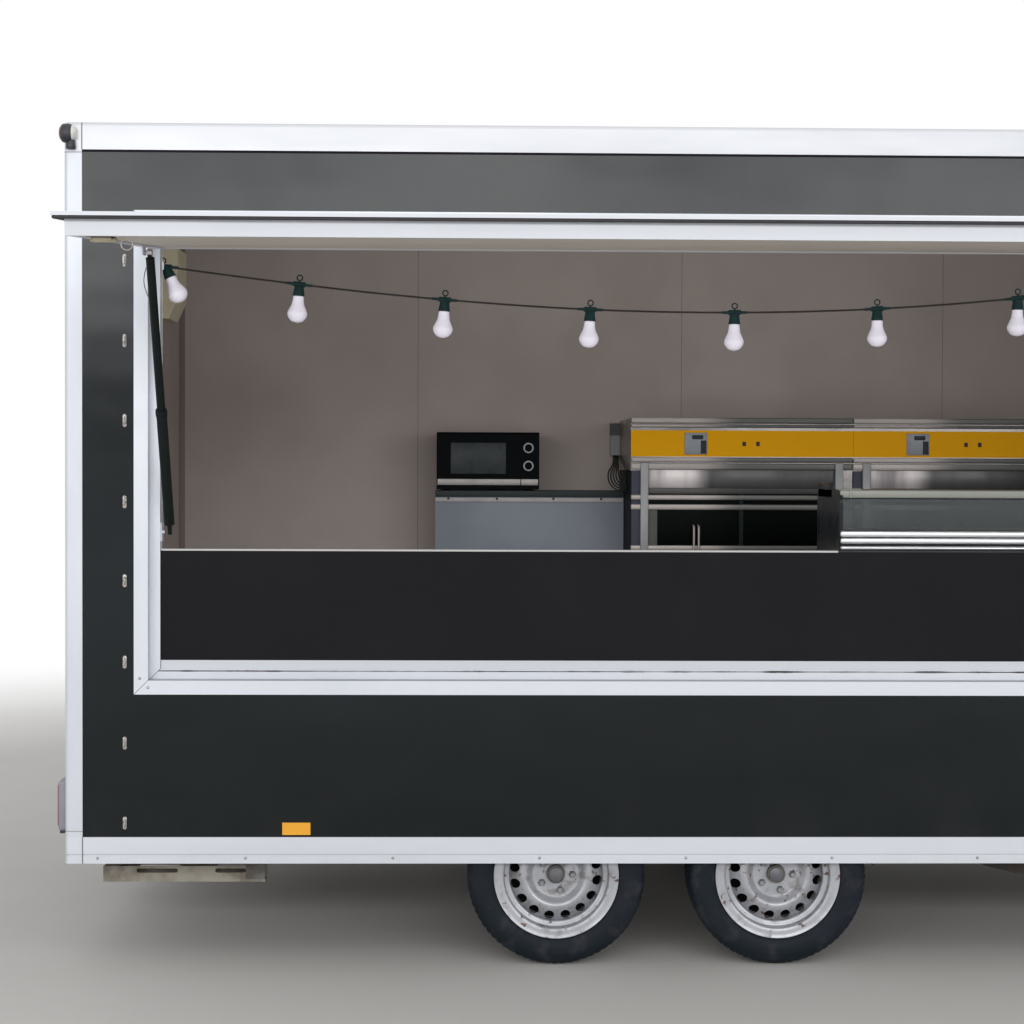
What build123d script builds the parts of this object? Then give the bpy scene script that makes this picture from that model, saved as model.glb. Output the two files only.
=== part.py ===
from build123d import *
import os
from math import atan2, cos, hypot, pi, radians, sin, tan

# Catering trailer: a closed box body on two axles, with a serving hatch along one side.
# Millimetres. +X runs forward to the towing coupling, +Z up, and the serving side faces -Y.
# Places are given as stations forward of the body's rear face, depths behind the serving
# wall's outer face, and heights above the ground.

os.makedirs("parts", exist_ok=True)

# Driving sizes of the body
body_length = 4500
body_width = 2400
body_top = 2771
skirt_bottom = 351
wall_thickness = 35
cladding_recess = 2
post_width = 58
corner_radius = 14
roof_rail_height = 89
bottom_rail_height = 87
rail_groove_height = 375
rail_groove_width = 6
rail_groove_depth = 3
floor_thickness = 42
roof_thickness = 36
roof_ledge = 12
panel_joints = (1051, 2214, 3374)
panel_joint_width = 4
panel_joint_depth = 2
fit_gap = 1.0
running_gap = 0.3

# Serving hatch: its frame in the wall and the flap that hangs from the frame's head
hatch_margin = 226
hatch_bottom = 907
hatch_top = 2486
flange_width = 46
flange_proud = 4
ledge_width = 33
ledge_depth = 41
ledge_thickness = 5
jamb_thickness = 3
return_thickness = 5
return_depth = 90
hinge_height = 2418
hinge_reach = 24
hinge_bead_radius = 6
hinge_hook_thickness = 4
hinge_web_thickness = 3
flap_length = 1488
flap_droop = 4.85
flap_thickness = 60
flap_lip_thickness = 10
flap_lip_overlap = 4
flap_side_clearance = 26
flap_foot_clearance = 7
flap_profile_width = 40
flap_panel_recess = 4

# Height of the counter's front lip, which sets the feet of the struts, and of the sunken
# surface behind it, which what stands on the counter rests on
counter_height = 1381.5
counter_lip = 26
counter_surface = counter_height - counter_lip

# Gas struts that hold the flap up. Their feet stand just over the counter, and a short
# length of each rod stays in its sleeve when the flap is up.
strut_inset = 30
strut_pin_out = 344
strut_pin_offset = 18
strut_foot_rise = 55.5
strut_foot_height = counter_height + strut_foot_rise
strut_foot_depth = 60
strut_sleeve_radius = 17
strut_rod_radius = 13.5
strut_sleeve_length = 400
strut_sleeve_start = 30
strut_sleeve_floor = 8
strut_engagement = 47
strut_pin_radius = 6
strut_eye_radius = 9
strut_eye_width = 12
strut_plate_thickness = 4
strut_plate_run = 50
strut_pin_length = 14

# Coupling, drawbar and running gear
drawbar_reach = 1270
lamp_reach = 26
reflector_thickness = 6
rear_axle_station = 1614
axle_spacing = 738
hub_height = 297
tyre_radius = 297
tyre_width = 190
tyre_inset = 45
rim_radius = 207.5
bead_radius = 190.5
rail_top = skirt_bottom + bottom_rail_height
rail_height = 108
rail_width = 60
rail_inset = 270
rail_wall = 5
rail_end_gap = 60

# Worked out from the driving sizes
flap_angle = radians(flap_droop)
flap_reach = hinge_reach + flap_length * cos(flap_angle)
overall_length = drawbar_reach + body_length + lamp_reach
reflector_proud = reflector_thickness - cladding_recess
overall_width = flap_reach + body_width + reflector_proud
rear_x = lamp_reach - overall_length / 2
serve_y = flap_reach - overall_width / 2
mid_x = rear_x + body_length / 2
mid_y = serve_y + body_width / 2
floor_top = rail_top + floor_thickness
rail_bottom = rail_top - rail_height
roof_rail_bottom = body_top - roof_rail_height


def at(station, depth, height):
    """A point from its station, depth and height."""
    return (rear_x + station, serve_y + depth, height)


def other_side(depth):
    """The depth that mirrors this one about the body's middle."""
    return body_width - depth


def block(stations, depths, heights, mode=Mode.ADD):
    """A box between two stations, two depths and two heights, in the part being built."""
    low = at(stations[0], depths[0], heights[0])
    high = at(stations[1], depths[1], heights[1])
    middle = tuple((a + b) / 2 for a, b in zip(low, high))
    with Locations(middle):
        Box(high[0] - low[0], high[1] - low[1], high[2] - low[2], mode=mode)


def wall_plane(depth):
    """A plane along the serving wall at a depth, with local x forward and y up."""
    return Plane(origin=(mid_x, serve_y + depth, 0), x_dir=(1, 0, 0), z_dir=(0, -1, 0))


def side_plane(station):
    """A plane across the body at a station, with local x as depth and y as height."""
    return Plane(origin=(rear_x + station, serve_y, 0), x_dir=(0, 1, 0), z_dir=(1, 0, 0))


# Body shell: floor, rails, posts, walls and roof
wheel_box_wall = 5
wheel_box_clearance = 16
wheel_box_rear = rear_axle_station - tyre_radius - wheel_box_clearance
wheel_box_front = rear_axle_station + axle_spacing + tyre_radius + wheel_box_clearance
wheel_box_top = hub_height + tyre_radius + 60
wheel_box_bottom = 336
wheel_box_depths = (wall_thickness, rail_inset - 2)
wheel_box_stations = (wheel_box_rear - wheel_box_wall, wheel_box_front + wheel_box_wall)

with BuildPart() as floor:
    block(
        (wall_thickness, body_length - wall_thickness),
        (wall_thickness, body_width - wall_thickness),
        (rail_top, floor_top),
    )
    for depths in (wheel_box_depths, [other_side(d) for d in reversed(wheel_box_depths)]):
        block(
            (wheel_box_stations[0] - fit_gap, wheel_box_stations[1] + fit_gap),
            (depths[0] - fit_gap, depths[1] + fit_gap),
            (rail_top, floor_top),
            mode=Mode.SUBTRACT,
        )
floor.part.label = "floor"
export_step(floor.part, "parts/floor.step")

with BuildPart() as wheel_boxes:
    for side in (0, 1):
        depths = wheel_box_depths
        open_depths = (depths[0] + wheel_box_wall, depths[1] - wheel_box_wall)
        if side:
            depths = [other_side(d) for d in reversed(depths)]
            open_depths = [other_side(d) for d in reversed(open_depths)]
        block(wheel_box_stations, depths, (wheel_box_bottom, wheel_box_top))
        block(
            (wheel_box_rear, wheel_box_front),
            open_depths,
            (wheel_box_bottom, wheel_box_top - wheel_box_wall),
            mode=Mode.SUBTRACT,
        )
        outer_depths = (0, depths[0] + wheel_box_wall)
        if side:
            outer_depths = (depths[1] - wheel_box_wall, body_width)
        block(
            wheel_box_stations,
            outer_depths,
            (wheel_box_bottom, rail_top - bottom_rail_height),
            mode=Mode.SUBTRACT,
        )
wheel_boxes.part.label = "wheel_boxes"
export_step(wheel_boxes.part, "parts/wheel_boxes.step")

with BuildPart() as bottom_rail:
    with BuildSketch(Plane.XY.offset(skirt_bottom)):
        with Locations((mid_x, mid_y)):
            RectangleRounded(body_length, body_width, corner_radius)
            Rectangle(
                body_length - 2 * wall_thickness,
                body_width - 2 * wall_thickness,
                mode=Mode.SUBTRACT,
            )
    extrude(amount=bottom_rail_height)
    with BuildSketch(Plane.XY.offset(rail_groove_height)):
        with Locations((mid_x, mid_y)):
            Rectangle(body_length, body_width)
            RectangleRounded(
                body_length - 2 * rail_groove_depth,
                body_width - 2 * rail_groove_depth,
                corner_radius - rail_groove_depth,
                mode=Mode.SUBTRACT,
            )
    extrude(amount=rail_groove_width, mode=Mode.SUBTRACT)
bottom_rail.part.label = "bottom_rail"
export_step(bottom_rail.part, "parts/bottom_rail.step")

with BuildPart() as corner_posts:
    with BuildSketch(Plane.XY.offset(rail_top)):
        with Locations((mid_x, mid_y)):
            RectangleRounded(body_length, body_width, corner_radius)
            Rectangle(
                body_length - 2 * wall_thickness,
                body_width - 2 * wall_thickness,
                mode=Mode.SUBTRACT,
            )
            Rectangle(body_length - 2 * post_width, body_width, mode=Mode.SUBTRACT)
            Rectangle(body_length, body_width - 2 * post_width, mode=Mode.SUBTRACT)
    extrude(amount=roof_rail_bottom - rail_top)
corner_posts.part.label = "corner_posts"
export_step(corner_posts.part, "parts/corner_posts.step")

with BuildPart() as roof_rail:
    with BuildSketch(Plane.XY.offset(roof_rail_bottom)):
        with Locations((mid_x, mid_y)):
            RectangleRounded(body_length, body_width, corner_radius)
    extrude(amount=roof_rail_height)
    top_edges = roof_rail.edges().group_by(Axis.Z)[-1]
    fillet(top_edges, radius=corner_radius - 2)
    with BuildSketch(Plane.XY.offset(roof_rail_bottom)):
        with Locations((mid_x, mid_y)):
            Rectangle(
                body_length - 2 * (wall_thickness + roof_ledge),
                body_width - 2 * (wall_thickness + roof_ledge),
            )
    extrude(amount=roof_rail_height, mode=Mode.SUBTRACT)
    with BuildSketch(Plane.XY.offset(body_top - roof_thickness)):
        with Locations((mid_x, mid_y)):
            Rectangle(body_length - 2 * wall_thickness, body_width - 2 * wall_thickness)
    extrude(amount=roof_thickness, mode=Mode.SUBTRACT)
roof_rail.part.label = "roof_rail"
export_step(roof_rail.part, "parts/roof_rail.step")

with BuildPart() as roof:
    block(
        (wall_thickness, body_length - wall_thickness),
        (wall_thickness, body_width - wall_thickness),
        (body_top - roof_thickness, body_top - 3),
    )
roof.part.label = "roof"
export_step(roof.part, "parts/roof.step")

hatch_width = body_length - 2 * hatch_margin
hatch_height = hatch_top - hatch_bottom
hatch_middle = (hatch_top + hatch_bottom) / 2
step_width = hatch_width - 2 * flange_width
step_height = hatch_height - 2 * flange_width
clear_width = step_width - 2 * ledge_width
clear_height = step_height - 2 * ledge_width
opening_left = hatch_margin + flange_width + ledge_width
opening_right = body_length - opening_left
opening_foot = hatch_bottom + flange_width + ledge_width
opening_head = hatch_top - flange_width - ledge_width

# Walls: sandwich panels whose outer sheets meet at narrow joints. The serving wall is cut
# for the hatch's frame.
with BuildPart() as wall_serving:
    block(
        (post_width, body_length - post_width),
        (cladding_recess, wall_thickness),
        (rail_top, roof_rail_bottom),
    )
    for joint in panel_joints:
        block(
            (joint - panel_joint_width / 2, joint + panel_joint_width / 2),
            (cladding_recess, cladding_recess + panel_joint_depth),
            (rail_top, roof_rail_bottom),
            mode=Mode.SUBTRACT,
        )
    with BuildSketch(wall_plane(0)):
        with Locations((0, hatch_middle)):
            Rectangle(step_width + 2 * jamb_thickness, step_height + 2 * jamb_thickness)
    extrude(amount=-wall_thickness, mode=Mode.SUBTRACT)
wall_serving.part.label = "wall_serving"
export_step(wall_serving.part, "parts/wall_serving.step")

with BuildPart() as wall_far:
    block(
        (post_width, body_length - post_width),
        (body_width - wall_thickness, body_width - cladding_recess),
        (rail_top, roof_rail_bottom),
    )
    for joint in panel_joints:
        block(
            (joint - panel_joint_width / 2, joint + panel_joint_width / 2),
            (body_width - cladding_recess - panel_joint_depth, body_width - cladding_recess),
            (rail_top, roof_rail_bottom),
            mode=Mode.SUBTRACT,
        )
wall_far.part.label = "wall_far"
export_step(wall_far.part, "parts/wall_far.step")

with BuildPart() as wall_front:
    block(
        (body_length - wall_thickness, body_length - cladding_recess),
        (post_width, body_width - post_width),
        (rail_top, roof_rail_bottom),
    )
wall_front.part.label = "wall_front"
export_step(wall_front.part, "parts/wall_front.step")

# Rear wall with the staff door
door_width = 720
door_height = 1950
door_near_depth = 600
door_gap = 6
door_thickness = 30
door_hinge_radius = 7
door_hinge_length = 70
door_hinge_heights = (700, 1450, 2200)
door_arm_half = 2
door_arm_reach = 60
door_arm_foot = 30
door_hinge_plate = 50
door_far_depth = door_near_depth + door_width
door_foot = floor_top
door_head = door_foot + door_height

with BuildPart() as wall_rear:
    block(
        (cladding_recess, wall_thickness),
        (post_width, body_width - post_width),
        (rail_top, roof_rail_bottom),
    )
    block(
        (0, wall_thickness),
        (door_near_depth, door_far_depth),
        (door_foot, door_head),
        mode=Mode.SUBTRACT,
    )
wall_rear.part.label = "wall_rear"
export_step(wall_rear.part, "parts/wall_rear.step")

# The leaf's hinge line lies just outside the rear face, at the far edge of the doorway.
door_hinge_station = -door_hinge_radius - 1
door_hinge_depth = door_far_depth + 2

with BuildPart() as door_leaf:
    block(
        (cladding_recess, cladding_recess + door_thickness),
        (door_near_depth + door_gap, door_far_depth - door_gap),
        (door_foot + door_gap, door_head - door_gap),
    )
    for height in door_hinge_heights:
        span = (height - door_hinge_length / 2, height - running_gap)
        with Locations(at(door_hinge_station, door_hinge_depth, sum(span) / 2)):
            Cylinder(door_hinge_radius, span[1] - span[0])
        block(
            (door_hinge_station - door_arm_half, door_hinge_station + door_arm_half),
            (door_far_depth - door_arm_reach, door_hinge_depth),
            span,
        )
        block(
            (door_hinge_station - door_arm_half, cladding_recess),
            (door_far_depth - door_arm_reach, door_far_depth - door_arm_foot),
            span,
        )
door_leaf.part.label = "door_leaf"
export_step(door_leaf.part, "parts/door_leaf.step")

with BuildPart() as door_hinges:
    for height in door_hinge_heights:
        span = (height, height + door_hinge_length / 2)
        with Locations(at(door_hinge_station, door_hinge_depth, sum(span) / 2)):
            Cylinder(door_hinge_radius, span[1] - span[0])
        block(
            (door_hinge_station, cladding_recess),
            (door_hinge_depth + 1, door_hinge_depth + door_hinge_plate),
            span,
        )
door_hinges.part.label = "door_hinges"
export_step(door_hinges.part, "parts/door_hinges.step")

# The handle's plate and lever, each from so far to so far in from the doorway's near edge
door_handle_height = 1450
handle_plate_run = (30, 75)
handle_plate_half = 80
handle_plate_thickness = 6
handle_lever_run = (42, 165)
handle_lever_half = 10
handle_lever_thickness = 12
handle_neck_radius = 9
handle_neck_length = 8

with BuildPart() as door_handle:
    plate_face = cladding_recess - handle_plate_thickness
    lever_face = plate_face - handle_neck_length
    block(
        (plate_face, cladding_recess),
        [door_near_depth + d for d in handle_plate_run],
        (door_handle_height - handle_plate_half, door_handle_height + handle_plate_half),
    )
    neck_depth = door_near_depth + sum(handle_plate_run) / 2
    with Locations(at((plate_face + lever_face) / 2, neck_depth, door_handle_height)):
        Cylinder(handle_neck_radius, handle_neck_length, rotation=(0, 90, 0))
    block(
        (lever_face - handle_lever_thickness, lever_face),
        [door_near_depth + d for d in handle_lever_run],
        (door_handle_height - handle_lever_half, door_handle_height + handle_lever_half),
    )
door_handle.part.label = "door_handle"
export_step(door_handle.part, "parts/door_handle.step")

# Route of the light string across the opening, from jamb to jamb. The ends meet the hooks
# on the jambs and the other points are at the lamps.
cord_radius = 4
cord_depth = 130
cord_heights = (2316, 2255, 2209, 2179, 2172, 2187, 2226, 2290, 2372)
cord_stations = (
    opening_left + fit_gap,
    771,
    1251,
    1728,
    2208,
    2685,
    3165,
    3645,
    opening_right - fit_gap,
)
cord_route = tuple(zip(cord_stations, cord_heights))
cord_hook_half = 12

# Frame of the serving hatch, in rings: flange, jamb, ledge and inner return, with the
# hinge bead along its head and a strut bracket on each jamb
strut_stub_end = strut_inset - strut_sleeve_radius - 1
strut_bracket_half = 30
strut_bracket_run = (-12, 28)
hinge_web_foot = 8

with BuildPart() as hatch_frame:
    # Each ring: (from depth, to depth, outer width, outer height, inner width, inner height)
    rings = (
        (-flange_proud, cladding_recess, hatch_width, hatch_height, step_width, step_height),
        (
            cladding_recess,
            ledge_depth,
            step_width + 2 * jamb_thickness,
            step_height + 2 * jamb_thickness,
            step_width,
            step_height,
        ),
        (
            ledge_depth,
            ledge_depth + ledge_thickness,
            step_width + 2 * jamb_thickness,
            step_height + 2 * jamb_thickness,
            clear_width,
            clear_height,
        ),
        (
            ledge_depth + ledge_thickness,
            return_depth,
            clear_width + 2 * return_thickness,
            clear_height + 2 * return_thickness,
            clear_width,
            clear_height,
        ),
    )
    for from_depth, to_depth, width, height, inner_width, inner_height in rings:
        with BuildSketch(wall_plane(from_depth)):
            with Locations((0, hatch_middle)):
                Rectangle(width, height)
                Rectangle(inner_width, inner_height, mode=Mode.SUBTRACT)
        extrude(amount=from_depth - to_depth)
    hinge_point = (-hinge_reach, hinge_height)
    web_root = (-flange_proud, hinge_height + hinge_reach - flange_proud)
    with BuildSketch(side_plane(hatch_margin + flange_width)):
        with Locations(hinge_point):
            Circle(hinge_bead_radius)
        with BuildLine():
            Polyline(
                hinge_point,
                (hinge_point[0] + hinge_web_thickness, hinge_point[1]),
                (web_root[0], web_root[1] - hinge_web_thickness),
                (web_root[0] + 1, web_root[1] - hinge_web_thickness),
                (web_root[0] + 1, web_root[1] + hinge_web_foot),
                (web_root[0], web_root[1] + hinge_web_foot),
                (hinge_point[0], hinge_point[1] + hinge_web_thickness),
                close=True,
            )
        make_face()
    extrude(amount=step_width)
    for way in (1, -1):
        jamb = opening_left if way == 1 else opening_right
        plate = sorted((jamb, jamb + way * strut_plate_thickness))
        stub = sorted((jamb, jamb + way * strut_stub_end))
        block(
            plate,
            [strut_foot_depth + d for d in strut_bracket_run],
            (strut_foot_height - strut_bracket_half, strut_foot_height + strut_bracket_half),
        )
        with Locations(at(sum(stub) / 2, strut_foot_depth, strut_foot_height)):
            Cylinder(strut_pin_radius, stub[1] - stub[0], rotation=(0, 90, 0))
        hook_height = cord_heights[0] if way == 1 else cord_heights[-1]
        block(
            sorted((jamb, jamb - way * return_thickness)),
            (return_depth, cord_depth + cord_hook_half),
            (hook_height - cord_hook_half, hook_height + cord_hook_half),
        )
hatch_frame.part.label = "hatch_frame"
export_step(hatch_frame.part, "parts/hatch_frame.step")

# Flap, drawn on its own plane: local x forward, y out from the hinge, z from the outer
# skin towards the inner face
flap_plane = Plane(
    origin=(mid_x, serve_y - hinge_reach, hinge_height),
    x_dir=(1, 0, 0),
    z_dir=(0, sin(flap_angle), -cos(flap_angle)),
)
flap_lip_width = step_width + 2 * flap_lip_overlap
flap_inner_width = step_width - 2 * flap_side_clearance
flap_inner_end = hinge_height - hatch_bottom - flange_width - flap_foot_clearance
flap_start = hinge_bead_radius + running_gap + hinge_hook_thickness / 2
flap_panel_width = flap_inner_width - 2 * flap_profile_width
flap_panel_end = flap_inner_end - flap_profile_width
flap_panel_start = flap_start + flap_profile_width


def flap_box(width, start, end, near, far, mode=Mode.ADD):
    """A box on the flap's plane, between two distances from the hinge and two depths."""
    with BuildSketch(flap_plane.offset(near)) as outline:
        with Locations((0, (start + end) / 2)):
            Rectangle(width, end - start)
    extrude(outline.sketch, amount=far - near, mode=mode)


with BuildPart() as flap_frame:
    flap_box(flap_lip_width, flap_start, flap_length, 0, flap_lip_thickness)
    flap_box(
        flap_inner_width, flap_start, flap_inner_end, flap_lip_thickness, flap_thickness
    )
    flap_box(
        flap_panel_width, flap_panel_start, flap_panel_end, 0, flap_thickness, Mode.SUBTRACT
    )
    # The hook round the hinge bead, a half ring on the flap's side of the axis
    hook_plane = Plane(
        origin=(mid_x - step_width / 2, serve_y - hinge_reach, hinge_height),
        x_dir=(0, -cos(flap_angle), -sin(flap_angle)),
        z_dir=(1, 0, 0),
    )
    with BuildSketch(hook_plane) as hook:
        Circle(hinge_bead_radius + running_gap + hinge_hook_thickness)
        Circle(hinge_bead_radius + running_gap, mode=Mode.SUBTRACT)
        with Locations((-50, 0)):
            Rectangle(100, 100, mode=Mode.SUBTRACT)
    extrude(hook.sketch, amount=step_width)
    with BuildSketch(hook_plane) as bead_room:
        Circle(hinge_bead_radius + running_gap)
    extrude(bead_room.sketch, amount=step_width, mode=Mode.SUBTRACT)
    for way in (1, -1):
        jamb = -clear_width / 2 if way == 1 else clear_width / 2
        plate_near = jamb + way * (strut_inset - strut_eye_width / 2 - strut_pin_length)
        plate_far = plate_near + way * strut_plate_thickness
        pin_end = jamb + way * (strut_inset - strut_eye_width / 2 - running_gap)
        with BuildSketch(flap_plane.offset(flap_thickness)) as foot:
            with Locations(((plate_near + plate_far) / 2, strut_pin_out)):
                Rectangle(strut_plate_thickness, strut_plate_run)
        extrude(foot.sketch, amount=strut_pin_offset + strut_eye_radius)
        pin_plane = Plane(
            origin=flap_plane.from_local_coords(
                Vector(plate_near, strut_pin_out, flap_thickness + strut_pin_offset)
            ),
            x_dir=(0, -cos(flap_angle), -sin(flap_angle)),
            z_dir=(way, 0, 0),
        )
        with BuildSketch(pin_plane) as pin:
            Circle(strut_pin_radius)
        extrude(pin.sketch, amount=abs(pin_end - plate_near))
flap_frame.part.label = "flap_frame"
export_step(flap_frame.part, "parts/flap_frame.step")

with BuildPart() as flap_panel:
    flap_box(
        flap_panel_width,
        flap_panel_start,
        flap_panel_end,
        2,
        flap_thickness - flap_panel_recess,
    )
flap_panel.part.label = "flap_panel"
export_step(flap_panel.part, "parts/flap_panel.step")

# Gas struts: the pin on the flap, the foot pin on the jamb, and the line between them
pin_local = (strut_pin_out, flap_thickness + strut_pin_offset)
strut_pin_depth = (
    -hinge_reach - pin_local[0] * cos(flap_angle) + pin_local[1] * sin(flap_angle)
)
strut_pin_height = (
    hinge_height - pin_local[0] * sin(flap_angle) - pin_local[1] * cos(flap_angle)
)
strut_run = (strut_foot_depth - strut_pin_depth, strut_pin_height - strut_foot_height)
strut_open_length = hypot(strut_run[0], strut_run[1])
strut_rod_length = (
    strut_open_length - strut_sleeve_start - strut_sleeve_length + strut_engagement
)
strut_lean = atan2(strut_run[0], strut_run[1])
strut_up = (0, -sin(strut_lean), cos(strut_lean))
strut_down = tuple(-c for c in strut_up)

for name, strut_station in (
    ("rear", opening_left + strut_inset),
    ("front", opening_right - strut_inset),
):
    top_plane = Plane(
        origin=at(strut_station, strut_pin_depth, strut_pin_height),
        x_dir=(1, 0, 0),
        z_dir=strut_down,
    )
    foot_plane = Plane(
        origin=at(strut_station, strut_foot_depth, strut_foot_height),
        x_dir=(1, 0, 0),
        z_dir=strut_up,
    )
    with BuildPart() as strut_rod:
        with BuildSketch(top_plane.offset(strut_eye_radius * 2)):
            Circle(strut_rod_radius)
        extrude(amount=strut_rod_length - strut_eye_radius * 2)
        with BuildSketch(Plane(origin=top_plane.origin, x_dir=strut_down, z_dir=(1, 0, 0))):
            SlotCenterPoint((strut_eye_radius, 0), (2 * strut_eye_radius, 0), 2 * strut_eye_radius)
        extrude(amount=strut_eye_width / 2, both=True)
    strut_rod.part.label = f"strut_rod_{name}"
    export_step(strut_rod.part, f"parts/strut_rod_{name}.step")

    with BuildPart() as strut_sleeve:
        with BuildSketch(foot_plane.offset(strut_sleeve_start)):
            Circle(strut_sleeve_radius)
        extrude(amount=strut_sleeve_length)
        with BuildSketch(foot_plane.offset(strut_sleeve_start + strut_sleeve_floor)):
            Circle(strut_rod_radius + running_gap)
        extrude(amount=strut_sleeve_length, mode=Mode.SUBTRACT)
        with BuildSketch(Plane(origin=foot_plane.origin, x_dir=strut_up, z_dir=(1, 0, 0))):
            SlotCenterPoint((strut_sleeve_start / 2, 0), (strut_sleeve_start, 0), 2 * strut_eye_radius)
        extrude(amount=strut_eye_width / 2, both=True)
    strut_sleeve.part.label = f"strut_sleeve_{name}"
    export_step(strut_sleeve.part, f"parts/strut_sleeve_{name}.step")

# Counter behind the hatch. Its top is two boards that meet just behind the display case,
# each with a lip along its front.
counter_depth = 650
counter_board = 30
counter_edge = 4
counter_edge_depth = 51
counter_lip_depth = 85
counter_front_depth = 53
counter_front_thickness = 20
counter_front_foot = 1015
counter_ends = (opening_left + fit_gap, opening_right - fit_gap)
case_stations = (2556, 4100)
case_joint_gap = 11
counter_joint = case_stations[0] - case_joint_gap
gable_thickness = 25
gable_inset = 14
gable_middle = 2750
gable_stations = (
    counter_ends[0] + gable_inset,
    gable_middle,
    counter_ends[1] - gable_inset - gable_thickness,
)
gable_clearance = 5
gable_setback = 10
shelf_height = 900

with BuildPart() as counter_top:
    for board_ends in (
        (counter_ends[0], counter_joint - fit_gap / 2),
        (counter_joint + fit_gap / 2, counter_ends[1]),
    ):
        block(
            board_ends,
            (counter_front_depth + counter_front_thickness, counter_depth),
            (counter_surface - counter_board, counter_surface),
        )
        block(
            board_ends,
            (counter_front_depth + counter_front_thickness, counter_lip_depth),
            (counter_surface, counter_height),
        )
        block(
            board_ends,
            (counter_edge_depth, counter_lip_depth),
            (counter_height - counter_edge, counter_height),
        )
counter_top.part.label = "counter_top"
export_step(counter_top.part, "parts/counter_top.step")

with BuildPart() as counter_front:
    block(
        counter_ends,
        (counter_front_depth, counter_front_depth + counter_front_thickness),
        (opening_foot, counter_height - counter_edge),
    )
    block(
        counter_ends,
        (counter_edge_depth, counter_front_depth),
        (opening_foot, counter_front_foot),
    )
counter_front.part.label = "counter_front"
export_step(counter_front.part, "parts/counter_front.step")

with BuildPart() as counter_base:
    gable_depths = (return_depth + gable_clearance, counter_depth - gable_setback)
    for station in gable_stations:
        block(
            (station, station + gable_thickness),
            gable_depths,
            (floor_top, counter_surface - counter_board),
        )
    block(
        (gable_stations[0], gable_stations[-1] + gable_thickness),
        gable_depths,
        (shelf_height, shelf_height + gable_thickness),
    )
counter_base.part.label = "counter_base"
export_step(counter_base.part, "parts/counter_base.step")

# Display case on the counter
case_depths = (95, 520)
case_height = 226.5
case_top = counter_surface + case_height
case_shelf = 30
case_base = 86
case_end = 12
case_corner = 40
glass_thickness = 5
glass_margin = 4

with BuildPart() as display_case:
    for station in (case_stations[0], case_stations[1] - case_end):
        with BuildSketch(side_plane(station)):
            with Locations((sum(case_depths) / 2, counter_surface + case_height / 2)):
                RectangleRounded(case_depths[1] - case_depths[0], case_height, case_corner)
            with Locations((sum(case_depths) / 2, counter_surface + case_corner / 2)):
                Rectangle(case_depths[1] - case_depths[0], case_corner)
        extrude(amount=case_end)
    inner_stations = (case_stations[0] + case_end, case_stations[1] - case_end)
    block(inner_stations, case_depths, (counter_surface, counter_surface + case_base))
    block(
        inner_stations,
        (case_depths[0] + case_corner / 2, case_depths[1] - case_corner / 2),
        (case_top - case_shelf, case_top),
    )
display_case.part.label = "display_case"
export_step(display_case.part, "parts/display_case.step")

with BuildPart() as display_glass:
    glass_near = case_depths[0] + case_corner / 2 + glass_margin
    glass_far = case_depths[1] - case_corner / 2 - glass_margin
    for depths in (
        (glass_near, glass_near + glass_thickness),
        (glass_far - glass_thickness, glass_far),
    ):
        block(inner_stations, depths, (counter_surface + case_base, case_top - case_shelf))
display_glass.part.label = "display_glass"
export_step(display_glass.part, "parts/display_glass.step")

# Working side of the room: bench, microwave, ovens and wall boxes
bench_start = 1176
oven_start = 1988
bench_stations = (bench_start, oven_start - 3 * fit_gap)
bench_depth = 2015
bench_height = 1552
bench_edge = 20
bench_nosing = 12

with BuildPart() as back_bench:
    block(
        bench_stations,
        (bench_depth, body_width - wall_thickness),
        (bench_height - bench_edge, bench_height),
    )
    block(
        bench_stations,
        (bench_depth + bench_nosing, body_width - wall_thickness),
        (floor_top, bench_height - bench_edge),
    )
    block(
        (wheel_box_stations[0] - fit_gap, bench_stations[1]),
        (other_side(wheel_box_depths[1] + fit_gap), body_width - wall_thickness),
        (floor_top, wheel_box_top + fit_gap),
        mode=Mode.SUBTRACT,
    )
back_bench.part.label = "back_bench"
export_step(back_bench.part, "parts/back_bench.step")

microwave_inset = 5
microwave_width = 441
microwave_stations = (
    bench_start + microwave_inset,
    bench_start + microwave_inset + microwave_width,
)
microwave_depths = (2030, 2330)
microwave_height = 251
microwave_foot = 6
microwave_foot_inset = 40
microwave_foot_radius = 14
microwave_edge = 8

with BuildPart() as microwave:
    body_foot = bench_height + microwave_foot
    block(
        microwave_stations,
        microwave_depths,
        (body_foot, body_foot + microwave_height - microwave_foot),
    )
    foot_middle = at(
        sum(microwave_stations) / 2, sum(microwave_depths) / 2, bench_height + microwave_foot / 2
    )
    foot_runs = [
        ends[1] - ends[0] - 2 * microwave_foot_inset
        for ends in (microwave_stations, microwave_depths)
    ]
    with Locations(foot_middle):
        with GridLocations(foot_runs[0], foot_runs[1], 2, 2):
            Cylinder(microwave_foot_radius, microwave_foot)
    fillet(microwave.edges().filter_by(Axis.X).group_by(Axis.Z)[-1], radius=microwave_edge)
microwave.part.label = "microwave"
export_step(microwave.part, "parts/microwave.step")

oven_width = 920
oven_count = 2
oven_depths = (1700, 2300)
oven_top = 1859
oven_band_top = 1809
oven_band_foot = 1691
oven_body_foot = 900
oven_leg = 40
oven_leg_clearance = 12
oven_leg_depth = other_side(wheel_box_depths[1] + oven_leg_clearance)
oven_band_proud = 15
oven_window_recess = 12
oven_window_margin = 60
oven_window_head = 30
oven_window_post = 16

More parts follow.
